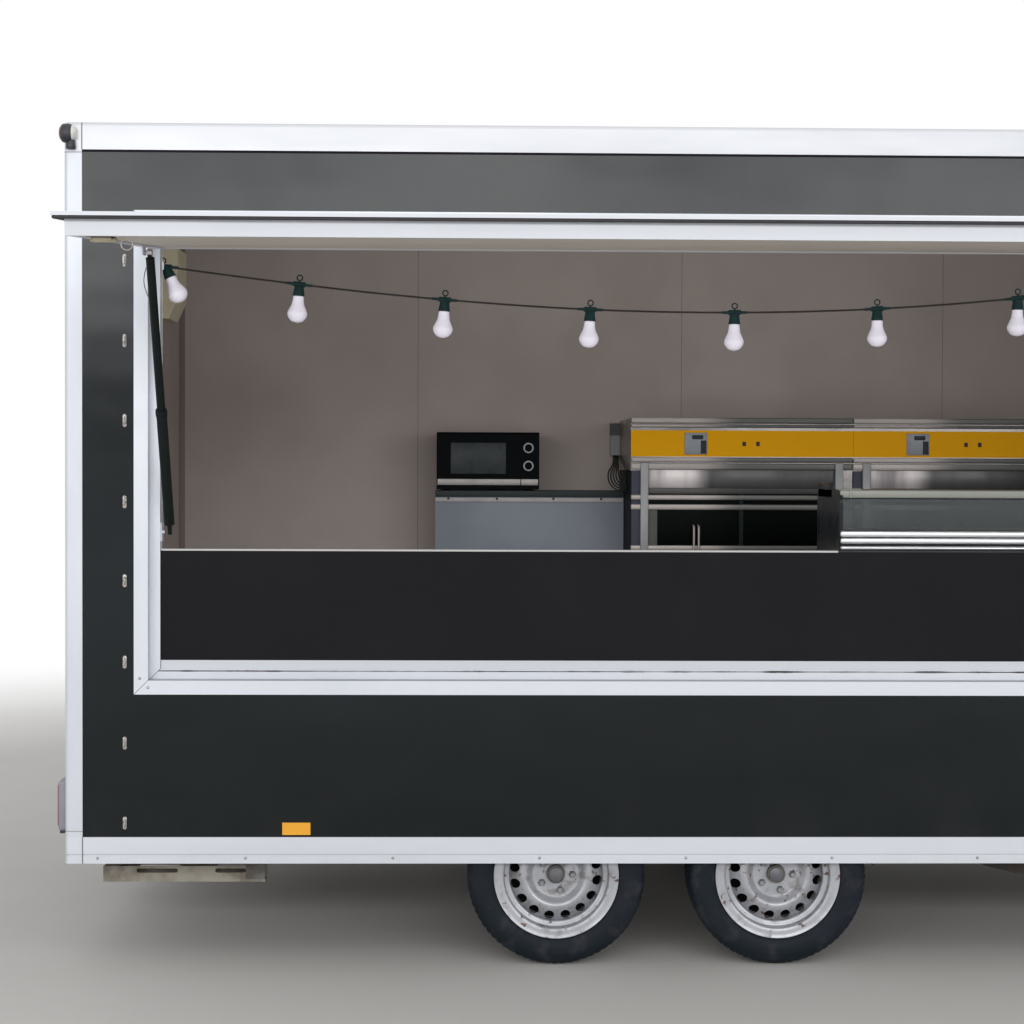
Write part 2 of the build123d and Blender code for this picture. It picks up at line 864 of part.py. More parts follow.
with BuildPart() as ovens:
    for number in range(oven_count):
        left = oven_start + number * (oven_width + fit_gap)
        right = left + oven_width
        block((left, right), oven_depths, (oven_body_foot, oven_top))
        block(
            (left, right),
            (oven_depths[0] - oven_band_proud, oven_depths[0]),
            (oven_band_foot, oven_band_top),
        )
        middle = (left + right) / 2
        for window in (
            (left + oven_window_margin, middle - oven_window_post / 2),
            (middle + oven_window_post / 2, right - oven_window_margin),
        ):
            block(
                window,
                (oven_depths[0], oven_depths[0] + oven_window_recess),
                (oven_body_foot + oven_window_margin, oven_band_foot - oven_window_head),
                mode=Mode.SUBTRACT,
            )
        for x in ((left, left + oven_leg), (right - oven_leg, right)):
            for y in (
                (oven_depths[0], oven_depths[0] + oven_leg),
                (oven_leg_depth - oven_leg, oven_leg_depth),
            ):
                block(x, y, (floor_top, oven_body_foot))
ovens.part.label = "ovens"
export_step(ovens.part, "parts/ovens.step")

fuse_box_stations = (1948, 2019)
fuse_box_heights = (1708, 1849)
fuse_box_reach = 60
dispenser_depths = (1845, 2105)
dispenser_heights = (2269, 2563)
dispenser_reach = 66
dispenser_taper = 38
dispenser_taper_height = 84

with BuildPart() as wall_boxes:
    block(
        fuse_box_stations,
        (body_width - wall_thickness - fuse_box_reach, body_width - wall_thickness),
        fuse_box_heights,
    )
    with BuildSketch(
        Plane(
            origin=at(wall_thickness, dispenser_depths[0], 0),
            x_dir=(1, 0, 0),
            z_dir=(0, -1, 0),
        )
    ):
        with BuildLine():
            Polyline(
                (0, dispenser_heights[0]),
                (dispenser_reach - dispenser_taper, dispenser_heights[0]),
                (dispenser_reach, dispenser_heights[0] + dispenser_taper_height),
                (dispenser_reach, dispenser_heights[1]),
                (0, dispenser_heights[1]),
                close=True,
            )
        make_face()
    extrude(amount=dispenser_depths[0] - dispenser_depths[1])
wall_boxes.part.label = "wall_boxes"
export_step(wall_boxes.part, "parts/wall_boxes.step")

# Lamps and reflectors
rear_lamp_depths = (22, 270)
rear_lamp_heights = (454, 620)
rear_lamp_corner = 12
rear_lamp_edge = 6
marker_reach_out = 16
marker_inset = 3
marker_edge = 6

with BuildPart() as rear_lamps:
    for depths in (rear_lamp_depths, [other_side(d) for d in reversed(rear_lamp_depths)]):
        with BuildSketch(side_plane(0)):
            with Locations((sum(depths) / 2, sum(rear_lamp_heights) / 2)):
                RectangleRounded(
                    depths[1] - depths[0],
                    rear_lamp_heights[1] - rear_lamp_heights[0],
                    rear_lamp_corner,
                )
        extrude(amount=-lamp_reach)
    chamfer(rear_lamps.edges().group_by(Axis.X)[0], length=rear_lamp_edge)
rear_lamps.part.label = "rear_lamps"
export_step(rear_lamps.part, "parts/rear_lamps.step")

marker_heights = (2690, 2767)
marker_width = 36
with BuildPart() as marker_lamps:
    marker_line = marker_inset + marker_width / 2
    for depth in (marker_line, other_side(marker_line)):
        with Locations(at(-marker_reach_out / 2, depth, sum(marker_heights) / 2)):
            Box(marker_reach_out, marker_width, marker_heights[1] - marker_heights[0])
    chamfer(marker_lamps.edges().filter_by(Axis.Y).group_by(Axis.X)[0], length=marker_edge)
marker_lamps.part.label = "marker_lamps"
export_step(marker_lamps.part, "parts/marker_lamps.step")

reflector_stations = (711, 803)
reflector_heights = (446, 486)
with BuildPart() as side_reflectors:
    for stations in (
        reflector_stations,
        [body_length - s for s in reversed(reflector_stations)],
    ):
        for depths in (
            (-reflector_proud, cladding_recess),
            (body_width - cladding_recess, body_width + reflector_proud),
        ):
            block(stations, depths, reflector_heights)
side_reflectors.part.label = "side_reflectors"
export_step(side_reflectors.part, "parts/side_reflectors.step")

# Chassis: two channel rails, cross members and outriggers
rail_depths = (rail_inset, other_side(rail_inset))
cross_height = 60
cross_width = 50
cross_inset = 90
cross_last = body_length - cross_inset - cross_width
cross_stations = (cross_inset, 700, 1250, 2750, 3500, cross_last)
outrigger_stations = (cross_inset, 900, 3300, cross_last)

with BuildPart() as chassis_rails:
    for depth, way in ((rail_depths[0], 1), (rail_depths[1], -1)):
        with BuildSketch(side_plane(rail_end_gap)):
            with Locations((depth + way * rail_width / 2, rail_top - rail_height / 2)):
                Rectangle(rail_width, rail_height)
            with Locations(
                (depth + way * (rail_width + rail_wall) / 2, rail_top - rail_height / 2)
            ):
                Rectangle(
                    rail_width - rail_wall, rail_height - 2 * rail_wall, mode=Mode.SUBTRACT
                )
        extrude(amount=body_length - 2 * rail_end_gap)
chassis_rails.part.label = "chassis_rails"
export_step(chassis_rails.part, "parts/chassis_rails.step")

with BuildPart() as cross_members:
    inner = rail_inset + rail_width
    for station in cross_stations:
        block(
            (station, station + cross_width),
            (inner, other_side(inner)),
            (rail_top - cross_height, rail_top),
        )
    for station in outrigger_stations:
        for depths in (
            (wall_thickness, rail_inset),
            (other_side(rail_inset), body_width - wall_thickness),
        ):
            block(
                (station, station + cross_width), depths, (rail_top - cross_height, rail_top)
            )
cross_members.part.label = "cross_members"
export_step(cross_members.part, "parts/cross_members.step")

# Axles: a torsion tube under the rails, a trailing arm, and a hub with its brake drum
wheel_depth = tyre_inset + tyre_width / 2
axle_tube = 80
arm_run = 150
arm_thickness = 22
arm_inset = tyre_inset + tyre_width + 6
arm_hub_radius = 38
arm_tube_radius = 40
mounting_offset = 33
drum_radius = 115
drum_width = 80
hub_flange_radius = 72
hub_flange_thickness = 12
cap_radius = 30
cap_proud = 22
stub_radius = 32
tube_height = rail_bottom - axle_tube / 2
axle_stations = (rear_axle_station, rear_axle_station + axle_spacing)

with BuildPart() as axles:
    for station in axle_stations:
        tube_ends = (arm_inset + arm_thickness, other_side(arm_inset + arm_thickness))
        block(
            (station + arm_run - axle_tube / 2, station + arm_run + axle_tube / 2),
            tube_ends,
            (tube_height - axle_tube / 2, tube_height + axle_tube / 2),
        )
        for inward, near in ((1, arm_inset), (-1, other_side(arm_inset))):
            with BuildSketch(wall_plane(near)) as arm:
                hub_x = station - body_length / 2
                tube_x = hub_x + arm_run
                with BuildLine():
                    Polyline(
                        (hub_x, hub_height - arm_hub_radius),
                        (tube_x, tube_height - arm_tube_radius),
                        (tube_x, tube_height + arm_tube_radius),
                        (hub_x, hub_height + arm_hub_radius),
                        close=True,
                    )
                make_face()
                with Locations((hub_x, hub_height)):
                    Circle(arm_hub_radius)
                with Locations((tube_x, tube_height)):
                    Circle(arm_tube_radius)
            extrude(arm.sketch, amount=-inward * arm_thickness)
            # Hub seen from the wheel's centre plane: (radius, from, to), outboard positive
            hub_rings = (
                (stub_radius, -(tyre_width / 2 + 6), -drum_width),
                (drum_radius, -drum_width, -2),
                (hub_flange_radius, -2, mounting_offset - running_gap),
                (cap_radius, mounting_offset - running_gap, mounting_offset + cap_proud),
            )
            centre_depth = wheel_depth if inward == 1 else other_side(wheel_depth)
            hub_plane = Plane(
                origin=at(station, centre_depth, hub_height),
                x_dir=(1, 0, 0),
                z_dir=(0, -inward, 0),
            )
            for radius, start, end in hub_rings:
                with BuildSketch(hub_plane.offset(start)) as ring:
                    Circle(radius)
                extrude(ring.sketch, amount=end - start)
axles.part.label = "axles"
export_step(axles.part, "parts/axles.step")

# Wheels. Sections are (radius, outboard distance from the wheel's centre plane). The air
# space between tyre and rim is closed all round, so the tyre is filled down to its seat on
# the rim, and the rim's barrel is straight where the tyre covers it.
tread_half = 74
shoulder_drop = 11
shoulder_half = 90
bulge_half = tyre_width / 2
bulge_radius = 242
bead_half = 78
bead_clearance = 0.3
bead_toe = 6
flange_width_out = 6
rim_wall = 4
drop_radius = 160
drop_ends = (36, -20)
barrel_ends = (52, -50)
vent_count = 16
vent_radius = 15.5
vent_circle = 136
vent_ring_inner = 118
disc_wall = 5
crown_radius = 107
crown_out = 58
crown_half = 14
crown_drop = 6
pad_radius = 76
pad_out = mounting_offset + disc_wall
centre_bore = 31.5
bead_seat = bead_radius + bead_clearance

# Half of the tyre's outline, from its tread down to its bead; the other half mirrors it
tyre_half = (
    (tyre_radius, tread_half),
    (tyre_radius - shoulder_drop, shoulder_half),
    (bulge_radius, bulge_half),
    (bead_seat, bead_half - bead_toe),
)
tyre_outline = tyre_half + tuple((r, -out) for r, out in reversed(tyre_half))

# The rim from its outer flange round the dished disc to its inner flange and back
rim_outline = (
    (bead_radius, bead_half + 0.5),
    (rim_radius, bead_half + 2),
    (rim_radius, bead_half + flange_width_out),
    (bead_radius - rim_wall, bead_half + rim_wall),
    (bead_radius - rim_wall, barrel_ends[0]),
    (drop_radius, drop_ends[0]),
    (vent_ring_inner, drop_ends[0]),
    (crown_radius, crown_out),
    (crown_radius - crown_half, crown_out - crown_drop),
    (pad_radius, pad_out),
    (centre_bore, pad_out),
    (centre_bore, pad_out - disc_wall),
    (pad_radius - 2, pad_out - disc_wall),
    (crown_radius - crown_half - 2, crown_out - crown_drop - disc_wall),
    (crown_radius - 1, crown_out - disc_wall),
    (vent_ring_inner - disc_wall, drop_ends[0] - disc_wall),
    (drop_radius, drop_ends[0] - disc_wall),
    (drop_radius, drop_ends[1]),
    (bead_radius - rim_wall, barrel_ends[1]),
    (bead_radius - rim_wall, -bead_half - rim_wall),
    (rim_radius, -bead_half - flange_width_out),
    (rim_radius, -bead_half - 2),
    (bead_radius, -bead_half - 0.5),
)

wheels = [
    (f"{end}_{side}", station, depth, out)
    for end, station in (("rear", axle_stations[0]), ("front", axle_stations[1]))
    for side, depth, out in (
        ("serving", wheel_depth, -1),
        ("far", other_side(wheel_depth), 1),
    )
]

for name, station, depth, out in wheels:
    section_plane = Plane(
        origin=at(station, depth, hub_height), x_dir=(1, 0, 0), z_dir=(0, 0, out)
    )
    spin = Axis(at(station, depth, hub_height), (0, 1, 0))

    with BuildPart() as tyre:
        with BuildSketch(section_plane):
            with BuildLine():
                Polyline(tyre_outline, close=True)
            make_face()
        revolve(axis=spin)
    tyre.part.label = f"tyre_{name}"
    export_step(tyre.part, f"parts/tyre_{name}.step")

    with BuildPart() as rim:
        with BuildSketch(section_plane):
            with BuildLine():
                Polyline(rim_outline, close=True)
            make_face()
        revolve(axis=spin)
        vent_plane = Plane(
            origin=at(station, depth, hub_height), x_dir=(1, 0, 0), z_dir=(0, out, 0)
        )
        with BuildSketch(vent_plane):
            with PolarLocations(vent_circle, vent_count):
                Circle(vent_radius)
        extrude(amount=crown_out, mode=Mode.SUBTRACT)
    rim.part.label = f"rim_{name}"
    export_step(rim.part, f"parts/rim_{name}.step")

# Drawbar: two beams under the rails that close to the coupling
beam_width = 68
beam_height = 90
beam_start = 2960
beam_bend = 3600
beam_end = 5150
beam_end_offset = 60
beam_taper = 15
beam_top = rail_bottom
beam_line = rail_inset + rail_width / 2
middle_depth = body_width / 2
beam_slope = (middle_depth - beam_end_offset - beam_line) / (beam_end - beam_bend)

with BuildPart() as drawbar_beams:
    for way in (1, -1):
        half = beam_width / 2
        # Outline in plan: (station, depth), on the serving side before mirroring
        outline = (
            (beam_start, beam_line - half),
            (beam_bend, beam_line - half),
            (beam_end, middle_depth - beam_end_offset - half),
            (beam_end, middle_depth - beam_end_offset + half),
            (beam_bend, beam_line + half),
            (beam_start, beam_line + half),
        )
        points = [
            at(s, d if way == 1 else other_side(d), 0)[:2] for s, d in outline
        ]
        with BuildSketch(Plane.XY.offset(beam_top - beam_height)):
            with BuildLine():
                Polyline(points, close=True)
            make_face()
        extrude(amount=beam_height)
    # The underside rises to nothing at the rear end of each beam
    taper_run = beam_height / tan(radians(beam_taper))
    with BuildSketch(wall_plane(0)):
        with BuildLine():
            start = beam_start - body_length / 2
            Polyline(
                (start, beam_top - 4),
                (start + taper_run, beam_top - beam_height),
                (start, beam_top - beam_height),
                close=True,
            )
        make_face()
    extrude(amount=-body_width, mode=Mode.SUBTRACT)
drawbar_beams.part.label = "drawbar_beams"
export_step(drawbar_beams.part, "parts/drawbar_beams.step")

# Overrun housing on the beams, its gaiter, and the coupling head on the drawtube
housing_rear = 4780
housing_front = 5300
housing_flange_end = 5316
housing_plate = 8
housing_half = 60
housing_top = 445
tube_axis_height = 405
drawtube_radius = 25
ball_height = 395
ball_radius = 25.2
coupling_rear = 5480
coupling_half = 41
coupling_drop = 28
coupling_height = 70
coupling_edge = 8
neck_height_rear = 56
neck_height_front = 62
neck_half_rear = 33
neck_half_front = 37
handbrake_station = 5020
lever_rise = 330
lever_lean = 150
lever_thickness = 16
clamp_offset = 120
clamp_radius = 34
clamp_arm_half = 20
clamp_heights = (350, 436)
clamp_screw_radius = 7
clamp_screw_length = 60
jockey_station = 5350
stem_radius = 24
stem_gap = 0.3


def plate_offset(station):
    """Half width of the housing's base plate, which follows the beams."""
    return beam_end_offset + (beam_end - station) * beam_slope + beam_width / 2


with BuildPart() as overrun_housing:
    with BuildSketch(Plane.XY.offset(beam_top)):
        with BuildLine():
            Polyline(
                at(housing_rear, middle_depth - plate_offset(housing_rear), 0)[:2],
                at(beam_end, middle_depth - plate_offset(beam_end), 0)[:2],
                at(housing_front, middle_depth - housing_half, 0)[:2],
                at(housing_front, middle_depth + housing_half, 0)[:2],
                at(beam_end, middle_depth + plate_offset(beam_end), 0)[:2],
                at(housing_rear, middle_depth + plate_offset(housing_rear), 0)[:2],
                close=True,
            )
        make_face()
    extrude(amount=housing_plate)
    with BuildSketch(side_plane(housing_rear + 40)):
        with Locations((middle_depth, (beam_top + housing_top) / 2)):
            RectangleRounded(2 * housing_half, housing_top - beam_top, 24)
        with Locations((middle_depth, beam_top + 15)):
            Rectangle(2 * housing_half, 30)
    extrude(amount=housing_front - housing_rear - 40)
    # Flange that carries the jockey wheel's clamp
    block(
        (housing_front, housing_flange_end),
        (middle_depth - clamp_offset - clamp_arm_half, middle_depth + housing_half),
        clamp_heights,
    )
    # Brake lever, standing on the housing
    with BuildSketch(wall_plane(middle_depth - lever_thickness / 2)) as lever:
        with BuildLine():
            foot = handbrake_station - body_length / 2
            Polyline(
                (foot - 22, housing_top - 6),
                (foot + 22, housing_top - 6),
                (foot + 14, housing_top + 60),
                (foot - lever_lean, housing_top + lever_rise),
                (foot - lever_lean - 22, housing_top + lever_rise - 12),
                (foot - 14, housing_top + 50),
                close=True,
            )
        make_face()
    extrude(lever.sketch, amount=-lever_thickness)
overrun_housing.part.label = "overrun_housing"
export_step(overrun_housing.part, "parts/overrun_housing.step")

gaiter_radii = (32, 42)
gaiter_folds = 4

with BuildPart() as gaiter:
    fold = (coupling_rear - housing_flange_end) / gaiter_folds
    # Bellows outline: (station, radius) down and up for each fold
    outline = [
        (housing_flange_end, drawtube_radius + fit_gap),
        (housing_flange_end, gaiter_radii[0]),
    ]
    for number in range(gaiter_folds):
        outline.append((housing_flange_end + (number + 0.5) * fold, gaiter_radii[1]))
        outline.append((housing_flange_end + (number + 1) * fold, gaiter_radii[0]))
    outline.append((coupling_rear, drawtube_radius + fit_gap))
    with BuildSketch(Plane(origin=at(0, middle_depth, tube_axis_height))):
        with BuildLine():
            Polyline(outline, close=True)
        make_face()
    revolve(axis=Axis(at(0, middle_depth, tube_axis_height), (1, 0, 0)))
gaiter.part.label = "gaiter"
export_step(gaiter.part, "parts/gaiter.step")

nose_station = body_length + drawbar_reach
ball_station = nose_station - coupling_half
coupling_foot = ball_height - coupling_drop
grip_thickness = 28

with BuildPart() as coupling_head:
    # Socket housing, round at the nose
    with BuildSketch(Plane.XY.offset(coupling_foot)):
        with Locations(at(ball_station - coupling_half / 2, middle_depth, 0)[:2]):
            Rectangle(coupling_half, 2 * coupling_half)
        with Locations(at(ball_station, middle_depth, 0)[:2]):
            Circle(coupling_half)
    extrude(amount=coupling_height)
    chamfer(coupling_head.faces().sort_by(Axis.Z)[-1].edges(), length=coupling_edge)
    # Neck, which widens from the drawtube to the housing
    with BuildSketch(side_plane(coupling_rear)):
        with Locations((middle_depth, tube_axis_height)):
            Rectangle(2 * neck_half_rear, neck_height_rear)
    with BuildSketch(side_plane(ball_station - coupling_half)):
        with Locations((middle_depth, coupling_foot + neck_height_front / 2)):
            Rectangle(2 * neck_half_front, neck_height_front)
    loft()
    tube_ends = (housing_flange_end, ball_station - coupling_half)
    with Locations(at(sum(tube_ends) / 2, middle_depth, tube_axis_height)):
        Cylinder(drawtube_radius, tube_ends[1] - tube_ends[0], rotation=(0, 90, 0))
    # Socket for the ball, open below
    with Locations(at(ball_station, middle_depth, ball_height)):
        Sphere(ball_radius, mode=Mode.SUBTRACT)
    with Locations(at(ball_station, middle_depth, ball_height - coupling_drop / 2)):
        Cylinder(ball_radius, coupling_drop, mode=Mode.SUBTRACT)
    # Lift handle over the ball, drawn from the ball's station and the housing's top
    with BuildSketch(wall_plane(middle_depth - grip_thickness / 2)) as grip:
        with BuildLine():
            foot = ball_station - body_length / 2
            roof_height = coupling_foot + coupling_height
            Polyline(
                (foot - 40, roof_height - 4),
                (foot + 10, roof_height - 4),
                (foot + 26, roof_height + 20),
                (foot - 120, roof_height + 42),
                (foot - 126, roof_height + 28),
                (foot - 40, roof_height + 16),
                close=True,
            )
        make_face()
    extrude(grip.sketch, amount=-grip_thickness)
coupling_head.part.label = "coupling_head"
export_step(coupling_head.part, "parts/coupling_head.step")

# Jockey wheel on a clamp beside the housing. Its stem is clamped, and the leg under it turns
# inside the stem's foot.
clamp_depth = middle_depth - clamp_offset
clamp_middle = at(jockey_station, clamp_depth, sum(clamp_heights) / 2)
clamp_height = clamp_heights[1] - clamp_heights[0]
stem_foot = 236
stem_top = 660
stem_cap = 30
leg_radius = 19
leg_gap = 0.3
leg_engagement = 104
crank_reach = 110
crank_half = 9
crank_rise = 22
crank_thickness = 10
crank_knob_radius = 11
crank_knob_height = 64
fork_top = 214
fork_plate = 5
fork_half = 32
jockey_trail = 55
jockey_radius = 100
jockey_width = 50
jockey_axle_radius = 8

with BuildPart() as jockey_clamp:
    with Locations(clamp_middle):
        Cylinder(clamp_radius, clamp_height)
    block(
        (housing_flange_end, jockey_station),
        (clamp_depth - clamp_arm_half, clamp_depth + clamp_arm_half),
        clamp_heights,
    )
    with Locations(clamp_middle):
        Cylinder(stem_radius + stem_gap, clamp_height, mode=Mode.SUBTRACT)
    # The clamp's screw, which stands out from the ring
    screw_start = (stem_radius + stem_gap + clamp_radius) / 2
    screw_depth = clamp_depth - screw_start - clamp_screw_length / 2
    with Locations(at(jockey_station, screw_depth, sum(clamp_heights) / 2)):
        Cylinder(clamp_screw_radius, clamp_screw_length, rotation=(90, 0, 0))
jockey_clamp.part.label = "jockey_clamp"
export_step(jockey_clamp.part, "parts/jockey_clamp.step")

with BuildPart() as jockey_stem:
    with Locations(at(jockey_station, clamp_depth, (stem_foot + stem_top) / 2)):
        Cylinder(stem_radius, stem_top - stem_foot)
    with Locations(at(jockey_station, clamp_depth, (stem_foot + stem_top - stem_cap) / 2)):
        Cylinder(leg_radius + leg_gap, stem_top - stem_cap - stem_foot, mode=Mode.SUBTRACT)
    crank_foot = stem_top + crank_rise
    with Locations(at(jockey_station, clamp_depth, stem_top + crank_rise / 2)):
        Cylinder(crank_half, crank_rise)
    block(
        (jockey_station - crank_half, jockey_station + crank_reach),
        (clamp_depth - crank_half, clamp_depth + crank_half),
        (crank_foot, crank_foot + crank_thickness),
    )
    knob_station = jockey_station + crank_reach - crank_knob_radius
    knob_middle = crank_foot + crank_thickness + crank_knob_height / 2
    with Locations(at(knob_station, clamp_depth, knob_middle)):
        Cylinder(crank_knob_radius, crank_knob_height)
jockey_stem.part.label = "jockey_stem"
export_step(jockey_stem.part, "parts/jockey_stem.step")

# The leg's tube stands on the fork as a solid of its own
jockey_centre = jockey_station - jockey_trail
leg_foot = fork_top + fit_gap / 2
leg_top = stem_foot + leg_engagement
with BuildPart() as jockey_leg:
    with Locations(at(jockey_station, clamp_depth, (leg_foot + leg_top) / 2)):
        Cylinder(leg_radius, leg_top - leg_foot)
    block(
        (jockey_centre - 10, jockey_station + 24),
        (clamp_depth - fork_half, clamp_depth + fork_half),
        (fork_top - fork_plate, fork_top),
    )
    for near, far in (
        (-fork_half, -fork_half + fork_plate),
        (fork_half - fork_plate, fork_half),
    ):
        with BuildSketch(wall_plane(clamp_depth + near)) as cheek:
            with BuildLine():
                axle_x = jockey_centre - body_length / 2
                stem_x = jockey_station - body_length / 2
                Polyline(
                    (axle_x - 10, fork_top - fork_plate),
                    (axle_x - 18, jockey_radius),
                    (axle_x, jockey_radius - 18),
                    (axle_x + 18, jockey_radius - 6),
                    (stem_x + 24, fork_top - fork_plate),
                    close=True,
                )
            make_face()
        extrude(cheek.sketch, amount=near - far)
    with Locations(at(jockey_centre, clamp_depth, jockey_radius)):
        Cylinder(jockey_axle_radius, 2 * fork_half, rotation=(90, 0, 0))
jockey_leg.part.label = "jockey_leg"
export_step(jockey_leg.part, "parts/jockey_leg.step")

# Half of the jockey wheel's outline: hub, dished disc and tyre
jockey_half = (
    (jockey_axle_radius + running_gap, jockey_width / 2),
    (30, jockey_width / 2),
    (66, jockey_width / 2 - 9),
    (jockey_radius - 9, jockey_width / 2 - 3),
    (jockey_radius, jockey_width / 2 - 11),
)
jockey_outline = jockey_half + tuple((r, -out) for r, out in reversed(jockey_half))

with BuildPart() as jockey_wheel:
    with BuildSketch(Plane(origin=at(jockey_centre, clamp_depth, jockey_radius))):
        with BuildLine():
            Polyline(jockey_outline, close=True)
        make_face()
    revolve(axis=Axis(at(jockey_centre, clamp_depth, jockey_radius), (0, 1, 0)))
jockey_wheel.part.label = "jockey_wheel"
export_step(jockey_wheel.part, "parts/jockey_wheel.step")

# Corner steadies, stowed flat under the rails. Stations are for the rear ones.
steady_line = rail_inset + rail_width / 2
steady_end = 77
steady_front = 628
steady_pivot = 591
steady_pivot_height = 262
steady_top = 290
steady_foot_height = 236
steady_half = 35
steady_wall = 4
steady_pin_radius = 6
steady_slots = ((191, 331), (458, 565))
steady_slot_height = 274
steady_slot_width = 14
bracket_gap = 2
bracket_wall = 5

steadies = [
    (f"{end}_{side}", turned, depth)
    for end, turned in (("rear", False), ("front", True))
    for side, depth in (("serving", steady_line), ("far", other_side(steady_line)))
]

with BuildPart() as steady_brackets:
    for name, turned, depth in steadies:
        stations = (steady_pivot - 28, steady_front)
        pivot = steady_pivot
        if turned:
            stations = (body_length - stations[1], body_length - stations[0])
            pivot = body_length - pivot
        block(
            stations,
            (depth - steady_half - bracket_gap - bracket_wall,
             depth + steady_half + bracket_gap + bracket_wall),
            (rail_bottom - bracket_wall, rail_bottom),
        )
        for side in (-1, 1):
            face = depth + side * (steady_half + bracket_gap + bracket_wall / 2)
            block(
                stations,
                (face - bracket_wall / 2, face + bracket_wall / 2),
                (steady_pivot_height - 16, rail_bottom),
            )
        with Locations(at(pivot, depth, steady_pivot_height)):
            Cylinder(
                steady_pin_radius,
                2 * (steady_half + bracket_gap + bracket_wall),
                rotation=(90, 0, 0),
            )
steady_brackets.part.label = "steady_brackets"
export_step(steady_brackets.part, "parts/steady_brackets.step")

for name, turned, depth in steadies:

    def along(station):
        """The station, turned about the body's middle for a front steady."""
        return body_length - station if turned else station

    with BuildPart() as steady_leg:
        with BuildSketch(side_plane(min(along(steady_end), along(steady_front)))):
            with Locations((depth, (steady_top + steady_foot_height) / 2)):
                Rectangle(2 * steady_half, steady_top - steady_foot_height)
            with Locations((depth, (steady_top + steady_foot_height) / 2 + steady_wall)):
                Rectangle(
                    2 * (steady_half - steady_wall),
                    steady_top - steady_foot_height,
                    mode=Mode.SUBTRACT,
                )
        extrude(amount=steady_front - steady_end)
        block(
            sorted((along(steady_end), along(steady_end + 55))),
            (depth - steady_half + 2, depth + steady_half - 2),
            (steady_foot_height + 2, steady_top - 2),
        )
        with BuildSketch(wall_plane(depth - steady_half - 1)) as slots:
            for start, end in steady_slots:
                middle = along((start + end) / 2) - body_length / 2
                with Locations((middle, steady_slot_height)):
                    SlotOverall(end - start, steady_slot_width)
            with Locations((along(steady_pivot) - body_length / 2, steady_pivot_height)):
                Circle(steady_pin_radius + running_gap)
        extrude(slots.sketch, amount=-2 * steady_half - 2, mode=Mode.SUBTRACT)
    steady_leg.part.label = f"steady_leg_{name}"
    export_step(steady_leg.part, f"parts/steady_leg_{name}.step")

# String of lights. Half of a bulb's outline is (radius, below its cap).
holder_radius = 17
holder_height = 43
neck_radius = 7
neck_height = 8
bulb_outline = ((0, 0), (16, 0), (18, 14), (31, 50), (31, 66), (18, 84), (0, 88))
end_lamp_inset = 46


def turn_radii(points):
    """Radii that take up 0.45 of the shorter run at each inner point of a route."""
    radii = []
    for before, here, after in zip(points, points[1:], points[2:]):
        first = Vector(here) - Vector(before)
        second = Vector(after) - Vector(here)
        turn = radians(first.get_angle(second))
        radii.append(0.45 * min(first.length, second.length) / tan(turn / 2))
    return radii


cord_points = [at(station, cord_depth, height) for station, height in cord_route]
cord_radii = turn_radii(cord_points)
print("cord radii", [round(r) for r in cord_radii])

with BuildPart() as light_cord:
    with BuildLine() as cord_path:
        FilletPolyline(cord_points, radius=cord_radii)
    with BuildSketch(Plane(origin=cord_path.line @ 0, z_dir=cord_path.line % 0)):
        Circle(cord_radius)
    sweep()
light_cord.part.label = "light_cord"
export_step(light_cord.part, "parts/light_cord.step")
cord_length = sum(edge.length for edge in cord_path.edges())
print("cord volume", light_cord.part.volume, pi * cord_radius**2 * cord_length)

# Each lamp's neck hangs just under the cord, whose arc rises a little above the route. The
# last lamp at each end hangs under the cord's straight run to the jamb.
lamps = []
for before, here, after, radius in zip(
    cord_route, cord_route[1:], cord_route[2:], cord_radii
):
    slope_in = atan2(here[1] - before[1], here[0] - before[0])
    slope_out = atan2(after[1] - here[1], after[0] - here[0])
    rise = radius * (1 / cos((slope_out - slope_in) / 2) - 1)
    tilt = abs(tan((slope_in + slope_out) / 2))
    lamps.append((here[0], here[1] + rise - cord_radius - running_gap - neck_radius * tilt))
for end, beside in (cord_route[:2], reversed(cord_route[-2:])):
    slope = atan2(beside[1] - end[1], abs(beside[0] - end[0]))
    run = end_lamp_inset if beside[0] > end[0] else -end_lamp_inset
    cord_foot = end[1] + end_lamp_inset * tan(slope) - (cord_radius + running_gap) / cos(slope)
    lamps.append((end[0] + run, cord_foot - neck_radius * abs(tan(slope))))

with BuildPart() as lamp_holders:
    for station, top in lamps:
        with Locations(at(station, cord_depth, top - neck_height / 2)):
            Cylinder(neck_radius, neck_height)
        with Locations(at(station, cord_depth, top - (neck_height + holder_height) / 2)):
            Cylinder(holder_radius, holder_height - neck_height)
lamp_holders.part.label = "lamp_holders"
export_step(lamp_holders.part, "parts/lamp_holders.step")

with BuildPart() as bulbs:
    for station, top in lamps:
        bulb_middle = at(station, cord_depth, top - holder_height)
        with BuildSketch(Plane(origin=bulb_middle, x_dir=(1, 0, 0), z_dir=(0, -1, 0))):
            with BuildLine():
                Polyline([(radius, -below) for radius, below in bulb_outline], close=True)
            make_face()
        revolve(axis=Axis(bulb_middle, (0, 0, 1)))
bulbs.part.label = "bulbs"
export_step(bulbs.part, "parts/bulbs.step")
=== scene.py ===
from math import atan2, cos, pi, radians, sin

